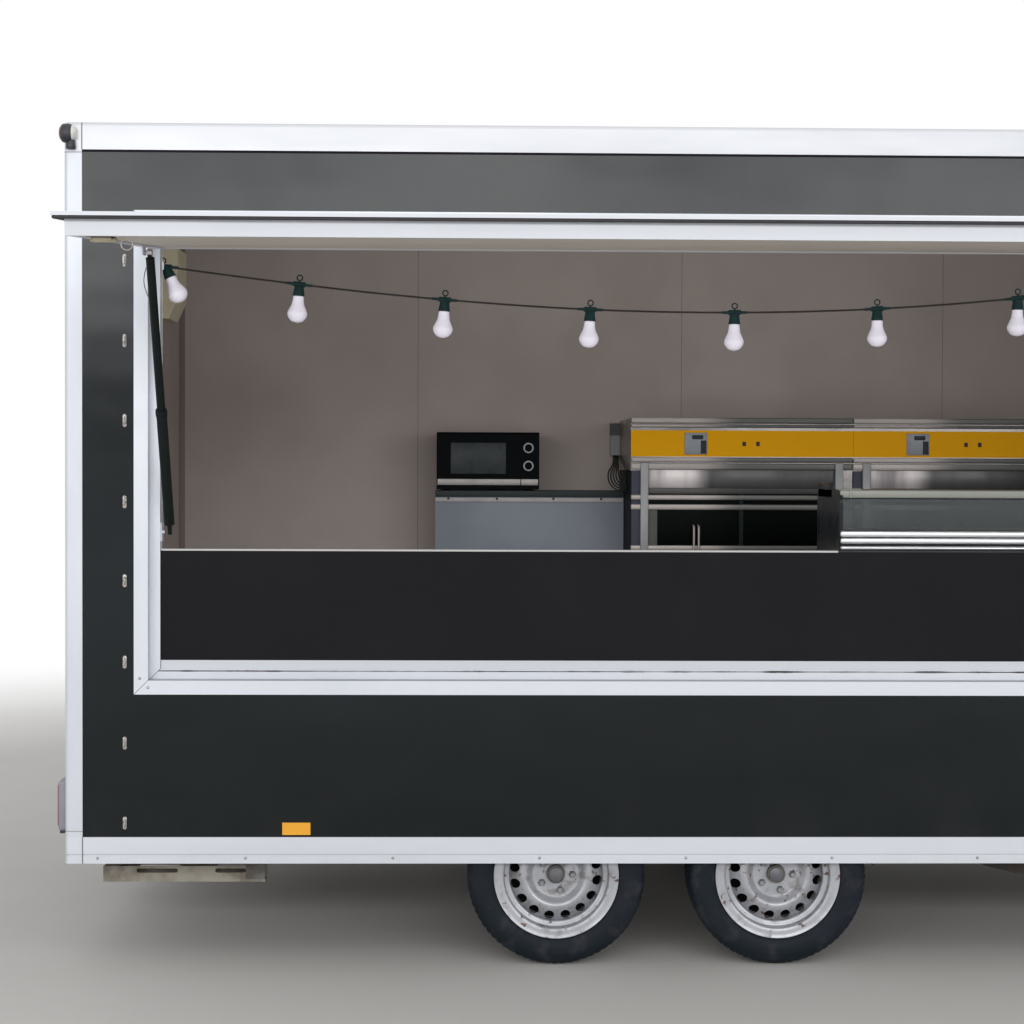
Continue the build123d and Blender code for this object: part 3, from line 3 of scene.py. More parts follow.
import bmesh
import bpy
import numpy as np
from mathutils import Matrix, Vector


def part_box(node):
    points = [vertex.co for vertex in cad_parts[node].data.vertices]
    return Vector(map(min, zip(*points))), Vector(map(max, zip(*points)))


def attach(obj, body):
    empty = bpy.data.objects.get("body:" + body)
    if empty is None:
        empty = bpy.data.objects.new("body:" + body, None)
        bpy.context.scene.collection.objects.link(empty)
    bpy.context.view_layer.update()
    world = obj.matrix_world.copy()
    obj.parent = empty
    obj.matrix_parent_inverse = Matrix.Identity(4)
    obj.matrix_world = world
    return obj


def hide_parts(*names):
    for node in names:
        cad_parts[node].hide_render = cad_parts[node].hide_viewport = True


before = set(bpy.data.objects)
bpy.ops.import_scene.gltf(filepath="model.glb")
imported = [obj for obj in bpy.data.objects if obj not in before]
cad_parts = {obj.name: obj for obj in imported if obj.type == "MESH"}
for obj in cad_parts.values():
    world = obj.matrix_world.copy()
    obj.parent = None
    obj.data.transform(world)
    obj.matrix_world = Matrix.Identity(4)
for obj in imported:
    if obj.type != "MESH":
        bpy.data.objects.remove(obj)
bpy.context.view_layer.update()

# The photo was taken from about 6.5 m out from the serving wall, a little forward of the
# hatch's rear end, with the camera just above the counter and held almost level.
# Places are stations forward of the body's rear face, depths behind the serving wall's
# outer face, and heights above the ground, all in metres.
body_low, body_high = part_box("corner_posts")
rear_x, front_x = body_low.x, body_high.x
serve_y, far_y = body_low.y, body_high.y
body_length, body_width = front_x - rear_x, far_y - serve_y


def at(station, depth, height):
    """A point from its station, depth and height."""
    return np.array([rear_x + station, serve_y + depth, height])


camera_station, camera_reach, camera_height = 1.316, 6.530, 1.660
camera_turn, camera_tilt, camera_roll = radians(-1.268), radians(-1.332), radians(-0.23)
photo_camera = bpy.data.cameras.new("camera")
photo_camera.sensor_width = 36
photo_camera.lens = 70.075
photo_camera.clip_end = 200
viewpoint = bpy.data.objects.new("camera", photo_camera)
bpy.context.scene.collection.objects.link(viewpoint)
viewpoint.matrix_world = (
    Matrix.Translation(at(camera_station, -camera_reach, camera_height))
    @ Matrix.Rotation(camera_turn, 4, "Z")
    @ Matrix.Rotation(camera_tilt, 4, "X")
    @ Matrix.Rotation(camera_roll, 4, "Y")
    @ Matrix.Rotation(pi / 2, 4, "X")
)
bpy.context.scene.camera = viewpoint
bpy.context.scene.view_settings.view_transform = "Standard"


# A string of party lights hangs across the hatch from jamb to jamb. The cord is black rubber,
# and each lamp is a moulded dark green holder with a hanging ring, carrying a frosted bulb.
cord_radius = 0.00325
cord_depth = 0.130
cord_route = (
    (0.306, 2.316),
    (0.771, 2.255),
    (1.251, 2.209),
    (1.728, 2.179),
    (2.208, 2.172),
    (2.685, 2.187),
    (3.165, 2.226),
    (3.645, 2.290),
    (4.194, 2.372),
)


def grid_faces(rows, columns, rows_wrap, columns_wrap):
    """The quads of a grid of points, each between two rows and two columns."""
    index = np.arange(rows * columns).reshape(rows, columns)
    if rows_wrap:
        index = np.vstack([index, index[:1]])
    if columns_wrap:
        index = np.hstack([index, index[:, :1]])
    corners = (index[:-1, :-1], index[1:, :-1], index[1:, 1:], index[:-1, 1:])
    return np.stack(corners, -1).reshape(-1, 4)


def fitting(name, shapes, material, body="trailer_body", stands_for=(), crease=38):
    """One piece from several shapes, each a grid of points and how its rows and columns wrap.
    Points that meet are merged, so poles and seams close, and the faces are turned outwards."""
    points, faces, count = [], [], 0
    for grid, rows_wrap, columns_wrap in shapes:
        rows, columns = grid.shape[:2]
        points.append(grid.reshape(-1, 3))
        faces.append(grid_faces(rows, columns, rows_wrap, columns_wrap) + count)
        count += rows * columns
    mesh = bpy.data.meshes.new(name)
    mesh.from_pydata(np.concatenate(points).tolist(), [], np.concatenate(faces).tolist())
    work = bmesh.new()
    work.from_mesh(mesh)
    bmesh.ops.remove_doubles(work, verts=work.verts, dist=1e-6)
    bmesh.ops.recalc_face_normals(work, faces=work.faces)
    work.to_mesh(mesh)
    work.free()
    mesh.shade_smooth()
    mesh.set_sharp_from_angle(angle=radians(crease))
    mesh.materials.append(material)
    piece = bpy.data.objects.new(name, mesh)
    bpy.context.scene.collection.objects.link(piece)
    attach(piece, body)
    if stands_for:
        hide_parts(*stands_for)
    return piece


def unit(vector):
    """The vector at length one."""
    vector = np.asarray(vector, float)
    return vector / np.linalg.norm(vector)


def across(axis):
    """Two directions square to an axis and to each other."""
    axis = unit(axis)
    helper = (0, 0, 1) if abs(axis[2]) < 0.9 else (1, 0, 0)
    first = unit(np.cross(axis, helper))
    return first, np.cross(axis, first)


def turned(profile, centre, axis, count=40, closed=False):
    """A turned form: each (radius, distance along the axis) of the profile becomes a circle."""
    radius, along = np.asarray(profile, float).T
    first, second = across(axis)
    angle = 2 * pi * np.arange(count) / count
    spokes = np.cos(angle)[:, None] * first + np.sin(angle)[:, None] * second
    grid = centre + along[:, None, None] * unit(axis) + radius[:, None, None] * spokes
    return grid, closed, True


def curve_through(points, steps=6):
    """A smooth line through points: between two of them it is the cubic whose slope at each
    end is half the chord between that point's neighbours."""
    points = np.asarray(points, float)
    ends = np.vstack([2 * points[0] - points[1], points, 2 * points[-1] - points[-2]])
    before, here, after, beyond = ends[:-3], ends[1:-2], ends[2:-1], ends[3:]
    t = (np.arange(steps) / steps)[None, :, None]
    line = 0.5 * (
        2 * here[:, None]
        + (after - before)[:, None] * t
        + (2 * before - 5 * here + 4 * after - beyond)[:, None] * t**2
        + (3 * here - before - 3 * after + beyond)[:, None] * t**3
    )
    return np.vstack([line.reshape(-1, points.shape[1]), points[-1:]])


def ring(centre, axis, radius, thickness, count=24, sides=8):
    """A round ring: a circle of the wire's size carried round a circle of the ring's size."""
    angle = 2 * pi * np.arange(sides) / sides
    profile = np.stack([radius + thickness * np.cos(angle), thickness * np.sin(angle)], 1)
    return turned(profile, centre, axis, count, closed=True)


def linear(colour):
    """A colour as seen on screen, 0 to 255, in the linear values that shaders take."""
    share = np.array(colour) / 255
    bent = np.where(share <= 0.04045, share / 12.92, ((share + 0.055) / 1.055) ** 2.4)
    return (*bent, 1.0)


def shader(tree, kind, feeds, **settings):
    """Adds a shader node with these settings, its inputs fed with values or with outputs."""
    made = tree.nodes.new("ShaderNode" + kind)
    for key, value in settings.items():
        setattr(made, key, value)
    for socket, value in feeds.items():
        if isinstance(value, bpy.types.NodeSocket):
            tree.links.new(value, made.inputs[socket])
        else:
            made.inputs[socket].default_value = value
    return made


def place_on(tree):
    """The point on the piece, in metres in the object's own frame."""
    return shader(tree, "TexCoord", {}).outputs["Object"]


def cloud(tree, scale, detail=4.0, stretch=(1, 1, 1)):
    """A soft random pattern from 0 to 1, with this many patches to the metre."""
    spread = shader(tree, "Mapping", {"Vector": place_on(tree), "Scale": stretch}).outputs[0]
    feeds = {"Vector": spread, "Scale": scale, "Detail": detail, "Roughness": 0.6}
    return shader(tree, "TexNoise", feeds).outputs[0]


def ramp(tree, value, start, end, low=0.0, high=1.0):
    """Rises smoothly from low, where the value is start, to high, where it is end."""
    feeds = {0: value, 1: start, 2: end, 3: low, 4: high}
    return shader(tree, "MapRange", feeds, interpolation_type="SMOOTHSTEP").outputs[0]


def blend_colour(tree, share, first, second):
    """The first colour where the share is 0 and the second where it is 1."""
    return shader(tree, "Mix", {0: share, 6: first, 7: second}, data_type="RGBA").outputs[2]


def finish(name, colour, patchy, roughness, metallic=0.0, specular=0.5, patches=2.5, worn=0.5,
           relief=0.0, grain=600.0, stretch=(1, 1, 1)):
    """A surface of one colour with soft patches of a second, a roughness that goes with the
    patches, and a fine relief."""
    made = bpy.data.materials.new(name)
    made.use_nodes = True
    tree = made.node_tree
    skin = tree.nodes["Principled BSDF"]
    patch = cloud(tree, patches, 5.0, stretch)
    share = ramp(tree, patch, 0.42, 0.70, 0.0, worn)
    mixed = blend_colour(tree, share, linear(colour), linear(patchy))
    tree.links.new(mixed, skin.inputs["Base Color"])
    rough = ramp(tree, patch, 0.3, 0.7, max(roughness - 0.07, 0.02), roughness + 0.07)
    tree.links.new(rough, skin.inputs["Roughness"])
    skin.inputs["Metallic"].default_value = metallic
    skin.inputs["Specular IOR Level"].default_value = specular
    if relief:
        fine = cloud(tree, grain, 2.0, stretch)
        feeds = {"Strength": relief, "Distance": 0.0006, "Height": fine}
        bumped = shader(tree, "Bump", feeds).outputs[0]
        tree.links.new(bumped, skin.inputs["Normal"])
    return made


cord_rubber = finish("cord rubber", (22, 19, 19), (34, 30, 30), 0.6, specular=0.2, patches=30)
holder_plastic = finish("lamp holder", (8, 26, 26), (14, 36, 35), 0.5, specular=0.15, patches=40,
                        relief=0.3)
frosted_bulb = finish("frosted bulb", (158, 155, 163), (150, 147, 155), 0.4, patches=20, worn=0.3)

cord_points = np.array([at(station, cord_depth, height) for station, height in cord_route])
cord_curve = bpy.data.curves.new("light_string", "CURVE")
cord_curve.dimensions = "3D"
cord_spline = cord_curve.splines.new("NURBS")
cord_spline.points.add(len(cord_points) - 1)
weights = np.ones((len(cord_points), 1))
cord_spline.points.foreach_set("co", np.hstack([cord_points, weights]).ravel())
cord_spline.order_u = 3
cord_spline.use_endpoint_u = True
cord_spline.resolution_u = 16
light_string = bpy.data.objects.new("light_string", cord_curve)
bpy.context.scene.collection.objects.link(light_string)
cord_line_mesh = bpy.data.meshes.new_from_object(light_string)
cord_line = np.empty(3 * len(cord_line_mesh.vertices))
cord_line_mesh.vertices.foreach_get("co", cord_line)
cord_line = cord_line.reshape(-1, 3)
bpy.data.meshes.remove(cord_line_mesh)
cord_curve.bevel_depth = cord_radius
cord_curve.bevel_resolution = 3
cord_curve.materials.append(cord_rubber)
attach(light_string, "trailer_body")
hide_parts("light_cord")

# Each lamp: (station, lean from upright, how far its sleeve runs along the cord). The end
# lamps hang close to the jambs with their bulbs leaning away from them, and their sleeves
# stop at the cord's ends.
sleeve_half = 0.043
both_ways = (-sleeve_half, sleeve_half)
end_lamp_in, end_lamp_lean = 0.004, radians(24)
lamps = [(cord_route[0][0] + end_lamp_in, end_lamp_lean, (-end_lamp_in, sleeve_half))]
lamps += [(station, radians(lean), both_ways) for station, lean in (
    (0.753, -4), (1.237, -4), (1.722, -2.5), (2.205, -1), (2.684, 0), (3.157, -1), (3.645, -2))]
lamps += [(cord_route[-1][0] - end_lamp_in, -end_lamp_lean, (-sleeve_half, end_lamp_in))]
# Turned forms, as (radius, distance along the lamp's axis from the cord, or along the cord)
holder_sleeve = ((0, -sleeve_half), (0.0045, -sleeve_half), (0.0050, -0.023), (0.0088, -0.018),
                 (0.0092, 0.018), (0.0050, 0.023), (0.0045, sleeve_half), (0, sleeve_half))
holder_socket = ((0, -0.002), (0.0140, -0.005), (0.0158, -0.010), (0.0180, -0.026),
                 (0.0197, -0.037), (0.0193, -0.0395), (0, -0.0395))
ring_height, ring_radius, ring_wire = 0.0216, 0.0089, 0.0022
holder_neck = ((0, 0.006), (0.003, 0.006), (0.003, ring_height - ring_radius), (0, 0.013))
bulb_profile = curve_through(
    ((0.0001, -0.0390), (0.0165, -0.0392), (0.0180, -0.0450), (0.0190, -0.0560),
     (0.0216, -0.0686), (0.0283, -0.0835), (0.0328, -0.0955), (0.0316, -0.1055),
     (0.0268, -0.1145), (0.0170, -0.1235), (0.0001, -0.1280))
)
slope_reach = 0.04
holder_shapes, bulb_shapes = [], []
for station, lean, sleeve_run in lamps:
    lamp_x = rear_x + station
    sleeve = [(radius, min(max(along, sleeve_run[0]), sleeve_run[1]))
              for radius, along in holder_sleeve]
    lamp_z = np.interp(lamp_x, cord_line[:, 0], cord_line[:, 2])
    ahead_z = np.interp(lamp_x + slope_reach, cord_line[:, 0], cord_line[:, 2])
    behind_z = np.interp(lamp_x - slope_reach, cord_line[:, 0], cord_line[:, 2])
    middle = np.array([lamp_x, serve_y + cord_depth, lamp_z])
    along_cord = (2 * slope_reach, 0, ahead_z - behind_z)
    upright = (-sin(lean), 0, cos(lean))
    holder_shapes += [
        turned(sleeve, middle, along_cord, 16),
        turned(holder_socket, middle, upright, 28),
        turned(holder_neck, middle, upright, 12),
        ring(middle + ring_height * unit(upright), (0, 1, 0), ring_radius, ring_wire),
    ]
    bulb_shapes.append(turned(bulb_profile, middle, upright, 32))
string_holders = fitting("string_holders", holder_shapes, holder_plastic,
                         stands_for=("lamp_holders",))
string_bulbs = fitting("string_bulbs", bulb_shapes, frosted_bulb,
                       stands_for=("bulbs",), crease=80)


# The body's frame is extruded aluminium, anodised matt and nearly white in daylight: a rail
# round the roof, a post at each corner and a skirt rail with a row of screws. It carries
# faint streaks, and road dirt low down.
def dress(material, *names):
    """Gives CAD nodes this finish."""
    for name in names:
        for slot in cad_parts[name].material_slots:
            slot.material = material


def maths(tree, operation, first, second=0.0):
    """One sum on two values or outputs."""
    return shader(tree, "Math", {0: first, 1: second}, operation=operation).outputs[0]


def overlay(material, share, colour, roughness=None):
    """Lays a further colour, and its roughness, over a finish where the share is 1."""
    tree = material.node_tree
    skin = tree.nodes["Principled BSDF"]
    beneath = skin.inputs["Base Color"].links[0].from_socket
    mixed = blend_colour(tree, share, beneath, linear(colour))
    tree.links.new(mixed, skin.inputs["Base Color"])
    if roughness is not None:
        rough = skin.inputs["Roughness"].links[0].from_socket
        feeds = {0: share, 2: rough, 3: roughness}
        tree.links.new(shader(tree, "Mix", feeds).outputs[0], skin.inputs["Roughness"])


def part_of_place(tree, axis):
    """One coordinate of the point on the piece."""
    return shader(tree, "SeparateXYZ", {0: place_on(tree)}).outputs["XYZ".index(axis)]


def away_from(tree, value, target):
    """How far the value is from its target, on either side."""
    return maths(tree, "ABSOLUTE", maths(tree, "SUBTRACT", value, target))


def near(tree, value, target, width):
    """1 where the value is within the width of its target, and 0 away from it."""
    return ramp(tree, away_from(tree, value, target), width, 1.3 * width, 1.0, 0.0)


def both(tree, first, second):
    """1 where both shares are 1."""
    return maths(tree, "MULTIPLY", first, second)


def from_middle(tree, axis, middle):
    """How far the point is from a middle plane, on either side."""
    return away_from(tree, part_of_place(tree, axis), middle)


def road_dirt(material, top, colour, strength=0.6, patches=9.0):
    """Dirt thrown up from the road, strongest low down and gone at the top height."""
    tree = material.node_tree
    low = ramp(tree, part_of_place(tree, "Z"), 0.1, top, 1.0, 0.0)
    spots = ramp(tree, cloud(tree, patches, 6.0), 0.42, 0.72, 0.0, strength)
    overlay(material, both(tree, low, spots), colour, 0.8)


aluminium_look = dict(metallic=0.25, specular=0.4, patches=1.6, worn=0.6, relief=0.15, grain=260.0)
rail_aluminium = finish("anodised rail", (226, 230, 238), (212, 216, 224), 0.42,
                        stretch=(0.3, 0.3, 2.0), **aluminium_look)
post_aluminium = finish("anodised post", (221, 225, 234), (208, 212, 221), 0.42,
                        stretch=(2.0, 2.0, 0.3), **aluminium_look)
# The roof rail's finish is a darker copy of the rails' aluminium: painted shade.
roof_aluminium_shaded = finish("anodised roof rail in painted shade", (216, 218, 223), (206, 209, 215), 0.40,
                        stretch=(0.3, 0.3, 2.0), **aluminium_look)
road_dirt(rail_aluminium, 0.46, (150, 146, 140), 0.35)
# A faint line runs along the skirt rail where its groove begins.
tree = rail_aluminium.node_tree
groove_line_height = 0.381
groove_line = near(tree, part_of_place(tree, "Z"), groove_line_height, 0.0012)
overlay(rail_aluminium, maths(tree, "MULTIPLY", groove_line, 0.6), (164, 164, 172), 0.7)
# The rails butt against the posts' castings, which leaves a thin dark joint.
post_width = 0.058
joint_grey, joint_half = (120, 118, 122), 0.0016
middle_x, middle_y = (rear_x + front_x) / 2, (serve_y + far_y) / 2
for metal in (rail_aluminium, roof_aluminium_shaded):
    tree = metal.node_tree
    from_end = from_middle(tree, "X", middle_x)
    from_side = from_middle(tree, "Y", middle_y)
    end_joint = near(tree, from_end, body_length / 2 - post_width, joint_half)
    side_joint = near(tree, from_side, body_width / 2 - post_width, joint_half)
    overlay(metal, maths(tree, "MAXIMUM", end_joint, side_joint), joint_grey, 0.7)
# The posts end in cast corners above and below, and dirt has settled on the lower ones.
casting_joint_heights = (0.457, 2.673)
foot_dirt_heights = (0.358, 0.384)
tree = post_aluminium.node_tree
post_z = part_of_place(tree, "Z")
for joint_height in casting_joint_heights:
    overlay(post_aluminium, near(tree, post_z, joint_height, 0.0014), (168, 166, 168), 0.7)
foot_dirt = both(tree, ramp(tree, post_z, *foot_dirt_heights, 1.0, 0.0),
                 ramp(tree, cloud(tree, 40.0, 5.0), 0.35, 0.6))
overlay(post_aluminium, foot_dirt, (126, 124, 130), 0.8)
# Inside the room the posts are covered like the walls, in a grey darker than the walls': painted
# shade in the room's corners.
wall_thickness, wall_skin = 0.035, 0.0005
room_half_x = body_length / 2 - wall_thickness + wall_skin
room_half_y = body_width / 2 - wall_thickness + wall_skin
in_room = both(tree,
               maths(tree, "LESS_THAN", from_middle(tree, "X", middle_x), room_half_x),
               maths(tree, "LESS_THAN", from_middle(tree, "Y", middle_y), room_half_y))
overlay(post_aluminium, in_room, (128, 118, 116), 0.7)
dress(rail_aluminium, "bottom_rail")
dress(post_aluminium, "corner_posts")
dress(roof_aluminium_shaded, "roof_rail")

screw_height, screw_start, screw_pitch, screw_radius = 0.369, 0.107, 0.483, 0.0052
screw_profile = ((0, 0.0024), (0.0025, 0.0023), (0.0043, 0.0015), (screw_radius, 0), (0, -0.001))
screw_shapes = []
for number in range(int(body_length / screw_pitch) + 1):
    for depth, way in ((0, -1), (body_width, 1)):
        spot = at(screw_start + number * screw_pitch, depth, screw_height)
        screw_shapes.append(turned(screw_profile, spot, (0, way, 0), 12))
screw_steel = finish("screw", (176, 178, 182), (120, 112, 104), 0.4, metallic=0.6, patches=60)
fitting("rail_screws", screw_shapes, screw_steel)


# The walls are sandwich panels: black gloss outside, warm grey inside, in sheets whose joints
# show as thin upright lines. The outer skin waves a little, which breaks up its reflections.
wall_middle = wall_thickness / 2
inner_joints = (1.092, 2.267, 3.438)


def above(tree, axis, limit):
    """1 where a coordinate is more than its limit."""
    return maths(tree, "GREATER_THAN", part_of_place(tree, axis), limit)


def panel_finish(name, outer, inner):
    """One finish for both faces of a wall: the outer one where a point lies further from the
    body's middle than half of the wall's thickness in from its outer face."""
    made = finish(name, outer, (26, 32, 36), 0.13, specular=0.24, patches=0.8, worn=0.7)
    tree = made.node_tree
    skin = tree.nodes["Principled BSDF"]
    across_x = maths(tree, "SUBTRACT", from_middle(tree, "X", middle_x),
                     body_length / 2 - wall_middle)
    across_y = maths(tree, "SUBTRACT", from_middle(tree, "Y", middle_y),
                     body_width / 2 - wall_middle)
    beyond = maths(tree, "MAXIMUM", across_x, across_y)
    inside = maths(tree, "LESS_THAN", beyond, 0.0)
    shade = ramp(tree, cloud(tree, 1.2, 3.0), 0.35, 0.7)
    grey = blend_colour(tree, shade, linear(inner), linear([c - 12 for c in inner]))
    station = maths(tree, "SUBTRACT", part_of_place(tree, "X"), rear_x)
    lines = 0.0
    for joint in inner_joints:
        lines = maths(tree, "MAXIMUM", near(tree, station, joint, joint_half), lines)
    grey = blend_colour(tree, maths(tree, "MULTIPLY", lines, 0.45), grey, linear((70, 62, 60)))
    beneath = skin.inputs["Base Color"].links[0].from_socket
    tree.links.new(blend_colour(tree, inside, beneath, grey), skin.inputs["Base Color"])
    rough = skin.inputs["Roughness"].links[0].from_socket
    feeds = {0: inside, 2: rough, 3: 0.62}
    tree.links.new(shader(tree, "Mix", feeds).outputs[0], skin.inputs["Roughness"])
    wave = cloud(tree, 2.2, 1.0, (1, 1, 1.8))
    feeds = {"Strength": 0.9, "Distance": 0.004, "Height": wave}
    tree.links.new(shader(tree, "Bump", feeds).outputs[0], skin.inputs["Normal"])
    return made


black_panel = panel_finish("black panel", (17, 24, 27), (166, 156, 151))
road_dirt(black_panel, 0.75, (52, 48, 42), 0.35, 3.0)
# A dark line runs along the top of the walls, just under the roof rail.
dark_line_width = 0.008
under_rail = above(black_panel.node_tree, "Z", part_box("roof_rail")[0].z - dark_line_width)
overlay(black_panel, under_rail, (28, 22, 32), 0.9)
dress(black_panel, "wall_serving", "wall_far", "wall_front", "wall_rear", "door_leaf")
roof_skin = finish("roof skin", (222, 222, 218), (190, 190, 186), 0.5, patches=1.5, relief=0.2)
dress(roof_skin, "roof")
floor_ply = finish("floor board", (92, 84, 78), (66, 60, 56), 0.6, patches=5, relief=0.5, grain=300)
dress(floor_ply, "floor")


# Down each end of the serving wall runs a row of small oval eyelet plates with a turning
# staple, for lacing on an awning. They are bright zinc-plated steel.
eyelet_inset = 0.196
eyelet_stations = (eyelet_inset, body_length - eyelet_inset)
eyelet_heights = (2.323, 2.062, 1.802, 1.537, 1.279, 1.013, 0.747, 0.485)
plate_width, plate_length, plate_thickness = 0.0125, 0.042, 0.0026
plate_screw_up = 0.0165
staple_out, staple_half, staple_wire = 0.009, 0.012, 0.0026
in_skin = 0.0005


def round_bar(path, radius, count=12, side=(0, 1, 0)):
    """A round bar along a path: a circle stands square to the path at each of its points, and
    the two ends close to their middles."""
    path = np.asarray(path, float)
    path = np.vstack([path[:1], path, path[-1:]])
    way = np.gradient(path, axis=0)
    way[0], way[-1] = way[1], way[-2]
    way /= np.linalg.norm(way, axis=1, keepdims=True)
    first = np.cross(way, side)
    first /= np.linalg.norm(first, axis=1, keepdims=True)
    second = np.cross(way, first)
    angle = (2 * pi * np.arange(count) / count)[None, :, None]
    width = np.full(len(path), float(radius))
    width[[0, -1]] = 0
    circle = np.cos(angle) * first[:, None] + np.sin(angle) * second[:, None]
    return path[:, None] + width[:, None, None] * circle, False, True


def oval_plate(station, height, width, length, thickness, count=28):
    """A thin plate on the serving wall: a straight middle with a half circle at each end."""
    angle = np.linspace(0, 2 * pi, count, endpoint=False)
    aside = width / 2 * np.cos(angle)
    up = width / 2 * np.sin(angle) + (length - width) / 2 * np.sign(np.sin(angle))
    rows = [at(station, 0, height) + np.stack([share * aside, np.full(count, -out), share * up], 1)
            for share, out in ((0, thickness), (0.86, thickness), (1, thickness - 0.001),
                               (1, -in_skin))]
    return np.array(rows), False, True


eyelet_shapes = []
bend = np.linspace(0, pi, 13)
for station in eyelet_stations:
    for height in eyelet_heights:
        eyelet_shapes.append(oval_plate(station, height, plate_width, plate_length,
                                        plate_thickness))
        staple = np.stack([np.full(len(bend), rear_x + station + 0.001),
                           serve_y - in_skin - staple_out * np.sin(bend),
                           height + staple_half * np.cos(bend)], 1)
        eyelet_shapes.append(round_bar(staple, staple_wire, 8, side=(1, 0, 0)))
        eyelet_shapes.append(turned(screw_profile, at(station, -in_skin, height + plate_screw_up),
                                    (0, -1, 0), 10))
bright_zinc = finish("bright zinc", (222, 216, 210), (168, 160, 152), 0.28, metallic=0.7,
                     patches=40)
eyelet_zinc = finish("eyelet zinc", (200, 195, 191), (104, 96, 90), 0.35, metallic=0.4,
                     patches=150, worn=1.0)
fitting("awning_eyelets", eyelet_shapes, eyelet_zinc)


# Orange reflectors, rear lamp clusters on grey carriers, and a rubber-armed marker lamp at
# each upper rear corner with a red lens behind and a clear one in front.
def lens_finish(name, colour, patchy):
    """A clear coloured lens with a fine moulded pattern of ribs."""
    made = finish(name, colour, patchy, 0.22, patches=25, worn=0.4)
    tree = made.node_tree
    ribs = shader(tree, "TexWave", {"Vector": place_on(tree), "Scale": 60.0},
                  wave_type="BANDS", bands_direction="Z").outputs[1]
    feeds = {"Strength": 0.25, "Distance": 0.0008, "Height": ribs}
    bumped = shader(tree, "Bump", feeds).outputs[0]
    tree.links.new(bumped, tree.nodes["Principled BSDF"].inputs["Normal"])
    return made


def rounded_block(low, high, edge=0.002, steps=3):
    """A block with round edges. Its outline is a rectangle with round corners, which is carried
    up and drawn in at both ends along a quarter circle, and closed to the middle."""
    low, high = np.minimum(low, high), np.maximum(low, high)
    middle, half = (low + high) / 2, (high - low) / 2
    edge = min(edge, 0.999 * half.min())
    quarter = np.linspace(0, pi / 2, steps + 1)
    angle = np.concatenate([quarter + turn * pi / 2 for turn in range(4)])
    sign_x = np.repeat([1, -1, -1, 1], steps + 1)
    sign_y = np.repeat([1, 1, -1, -1], steps + 1)
    lean = np.concatenate([quarter - pi / 2, quarter])
    end = np.repeat([-1, 1], steps + 1)
    reach = edge * np.cos(lean)
    x = (half[0] - edge) * sign_x + reach[:, None] * np.cos(angle)
    y = (half[1] - edge) * sign_y + reach[:, None] * np.sin(angle)
    z = np.broadcast_to(((half[2] - edge) * end + edge * np.sin(lean))[:, None], x.shape)
    rows = np.stack([x, y, z], -1)
    foot = np.broadcast_to([0, 0, -half[2]], rows[:1].shape)
    head = np.broadcast_to([0, 0, half[2]], rows[:1].shape)
    return middle + np.concatenate([foot, rows, head]), False, True


def slab(stations, depths, heights, edge=0.002):
    """A block with round edges, from its stations, depths and heights."""
    return rounded_block(*(at(*corner) for corner in zip(stations, depths, heights)), edge)


orange_lens = lens_finish("orange reflector", (255, 184, 52), (250, 164, 34))
red_lens = lens_finish("red lens", (176, 24, 26), (140, 14, 18))
clear_lens = lens_finish("clear lens", (232, 230, 224), (210, 208, 204))
amber_lens = lens_finish("amber lens", (236, 132, 28), (214, 108, 20))
dress(orange_lens, "side_reflectors")
carrier_grey = finish("lamp carrier", (150, 150, 158), (128, 128, 136), 0.5, patches=12)
dress(carrier_grey, "rear_lamps")
lamp_low, lamp_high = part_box("rear_lamps")
lamp_back = lamp_low.x - rear_x
lens_proud, lens_inset = 0.004, 0.014
for name, lens, inner, outer in (
    ("rear_lens_red", red_lens, 0.030, 0.112),
    ("rear_lens_amber", amber_lens, 0.116, 0.186),
    ("rear_lens_clear", clear_lens, 0.190, 0.262),
):
    shapes = [
        slab((lamp_back - lens_proud, lamp_back + 0.010), depths,
             (lamp_low.z + lens_inset, lamp_high.z - lens_inset), 0.005)
        for depths in ((inner, outer), (body_width - outer, body_width - inner))
    ]
    fitting(name, shapes, lens)
lamp_foot_width = 0.040
lamp_feet = [slab((-0.022, -0.006), (depth, depth + lamp_foot_width),
                  (lamp_low.z - 0.009, lamp_low.z + 0.004))
             for depth in (0.030, body_width - 0.030 - lamp_foot_width)]
marker_rubber = finish("marker rubber", (44, 46, 54), (66, 70, 80), 0.45, patches=30)
fitting("rear_lamp_feet", lamp_feet, marker_rubber)

# Each marker lamp is a rubber drum along the body with a lens at both ends, on a short foot.
marker_height, marker_out = 2.732, 0.010
marker_drum = ((0, -0.006), (0.024, -0.006), (0.029, -0.002), (0.031, 0.004), (0.031, 0.020),
               (0.029, 0.026), (0.026, 0.029), (0, 0.029))
marker_red = ((0, -0.0130), (0.012, -0.0122), (0.020, -0.0098), (0.024, -0.005), (0, -0.005))
marker_clear = ((0, 0.045), (0.012, 0.0435), (0.020, 0.039), (0.0245, 0.032), (0.0255, 0.028),
                (0, 0.028))
marker_foot = ((0, 0), (0.014, 0), (0.0160, 0.003), (0.0160, 0.012), (0.0130, 0.030), (0, 0.030))
foot_in, foot_down = 0.024, 0.051
drums, red_ends, clear_ends = [], [], []
for depth in (-marker_out, body_width + marker_out):
    spot = at(0, depth, marker_height)
    drums.append(turned(marker_drum, spot, (1, 0, 0), 36))
    drums.append(turned(marker_foot, at(foot_in, depth, marker_height - foot_down), (0, 0, 1), 28))
    red_ends.append(turned(marker_red, spot, (1, 0, 0), 36))
    clear_ends.append(turned(marker_clear, spot, (1, 0, 0), 36))
fitting("marker_drums", drums, marker_rubber, stands_for=("marker_lamps",))
fitting("marker_lens_red", red_ends, red_lens)
fitting("marker_lens_clear", clear_ends, clear_lens)


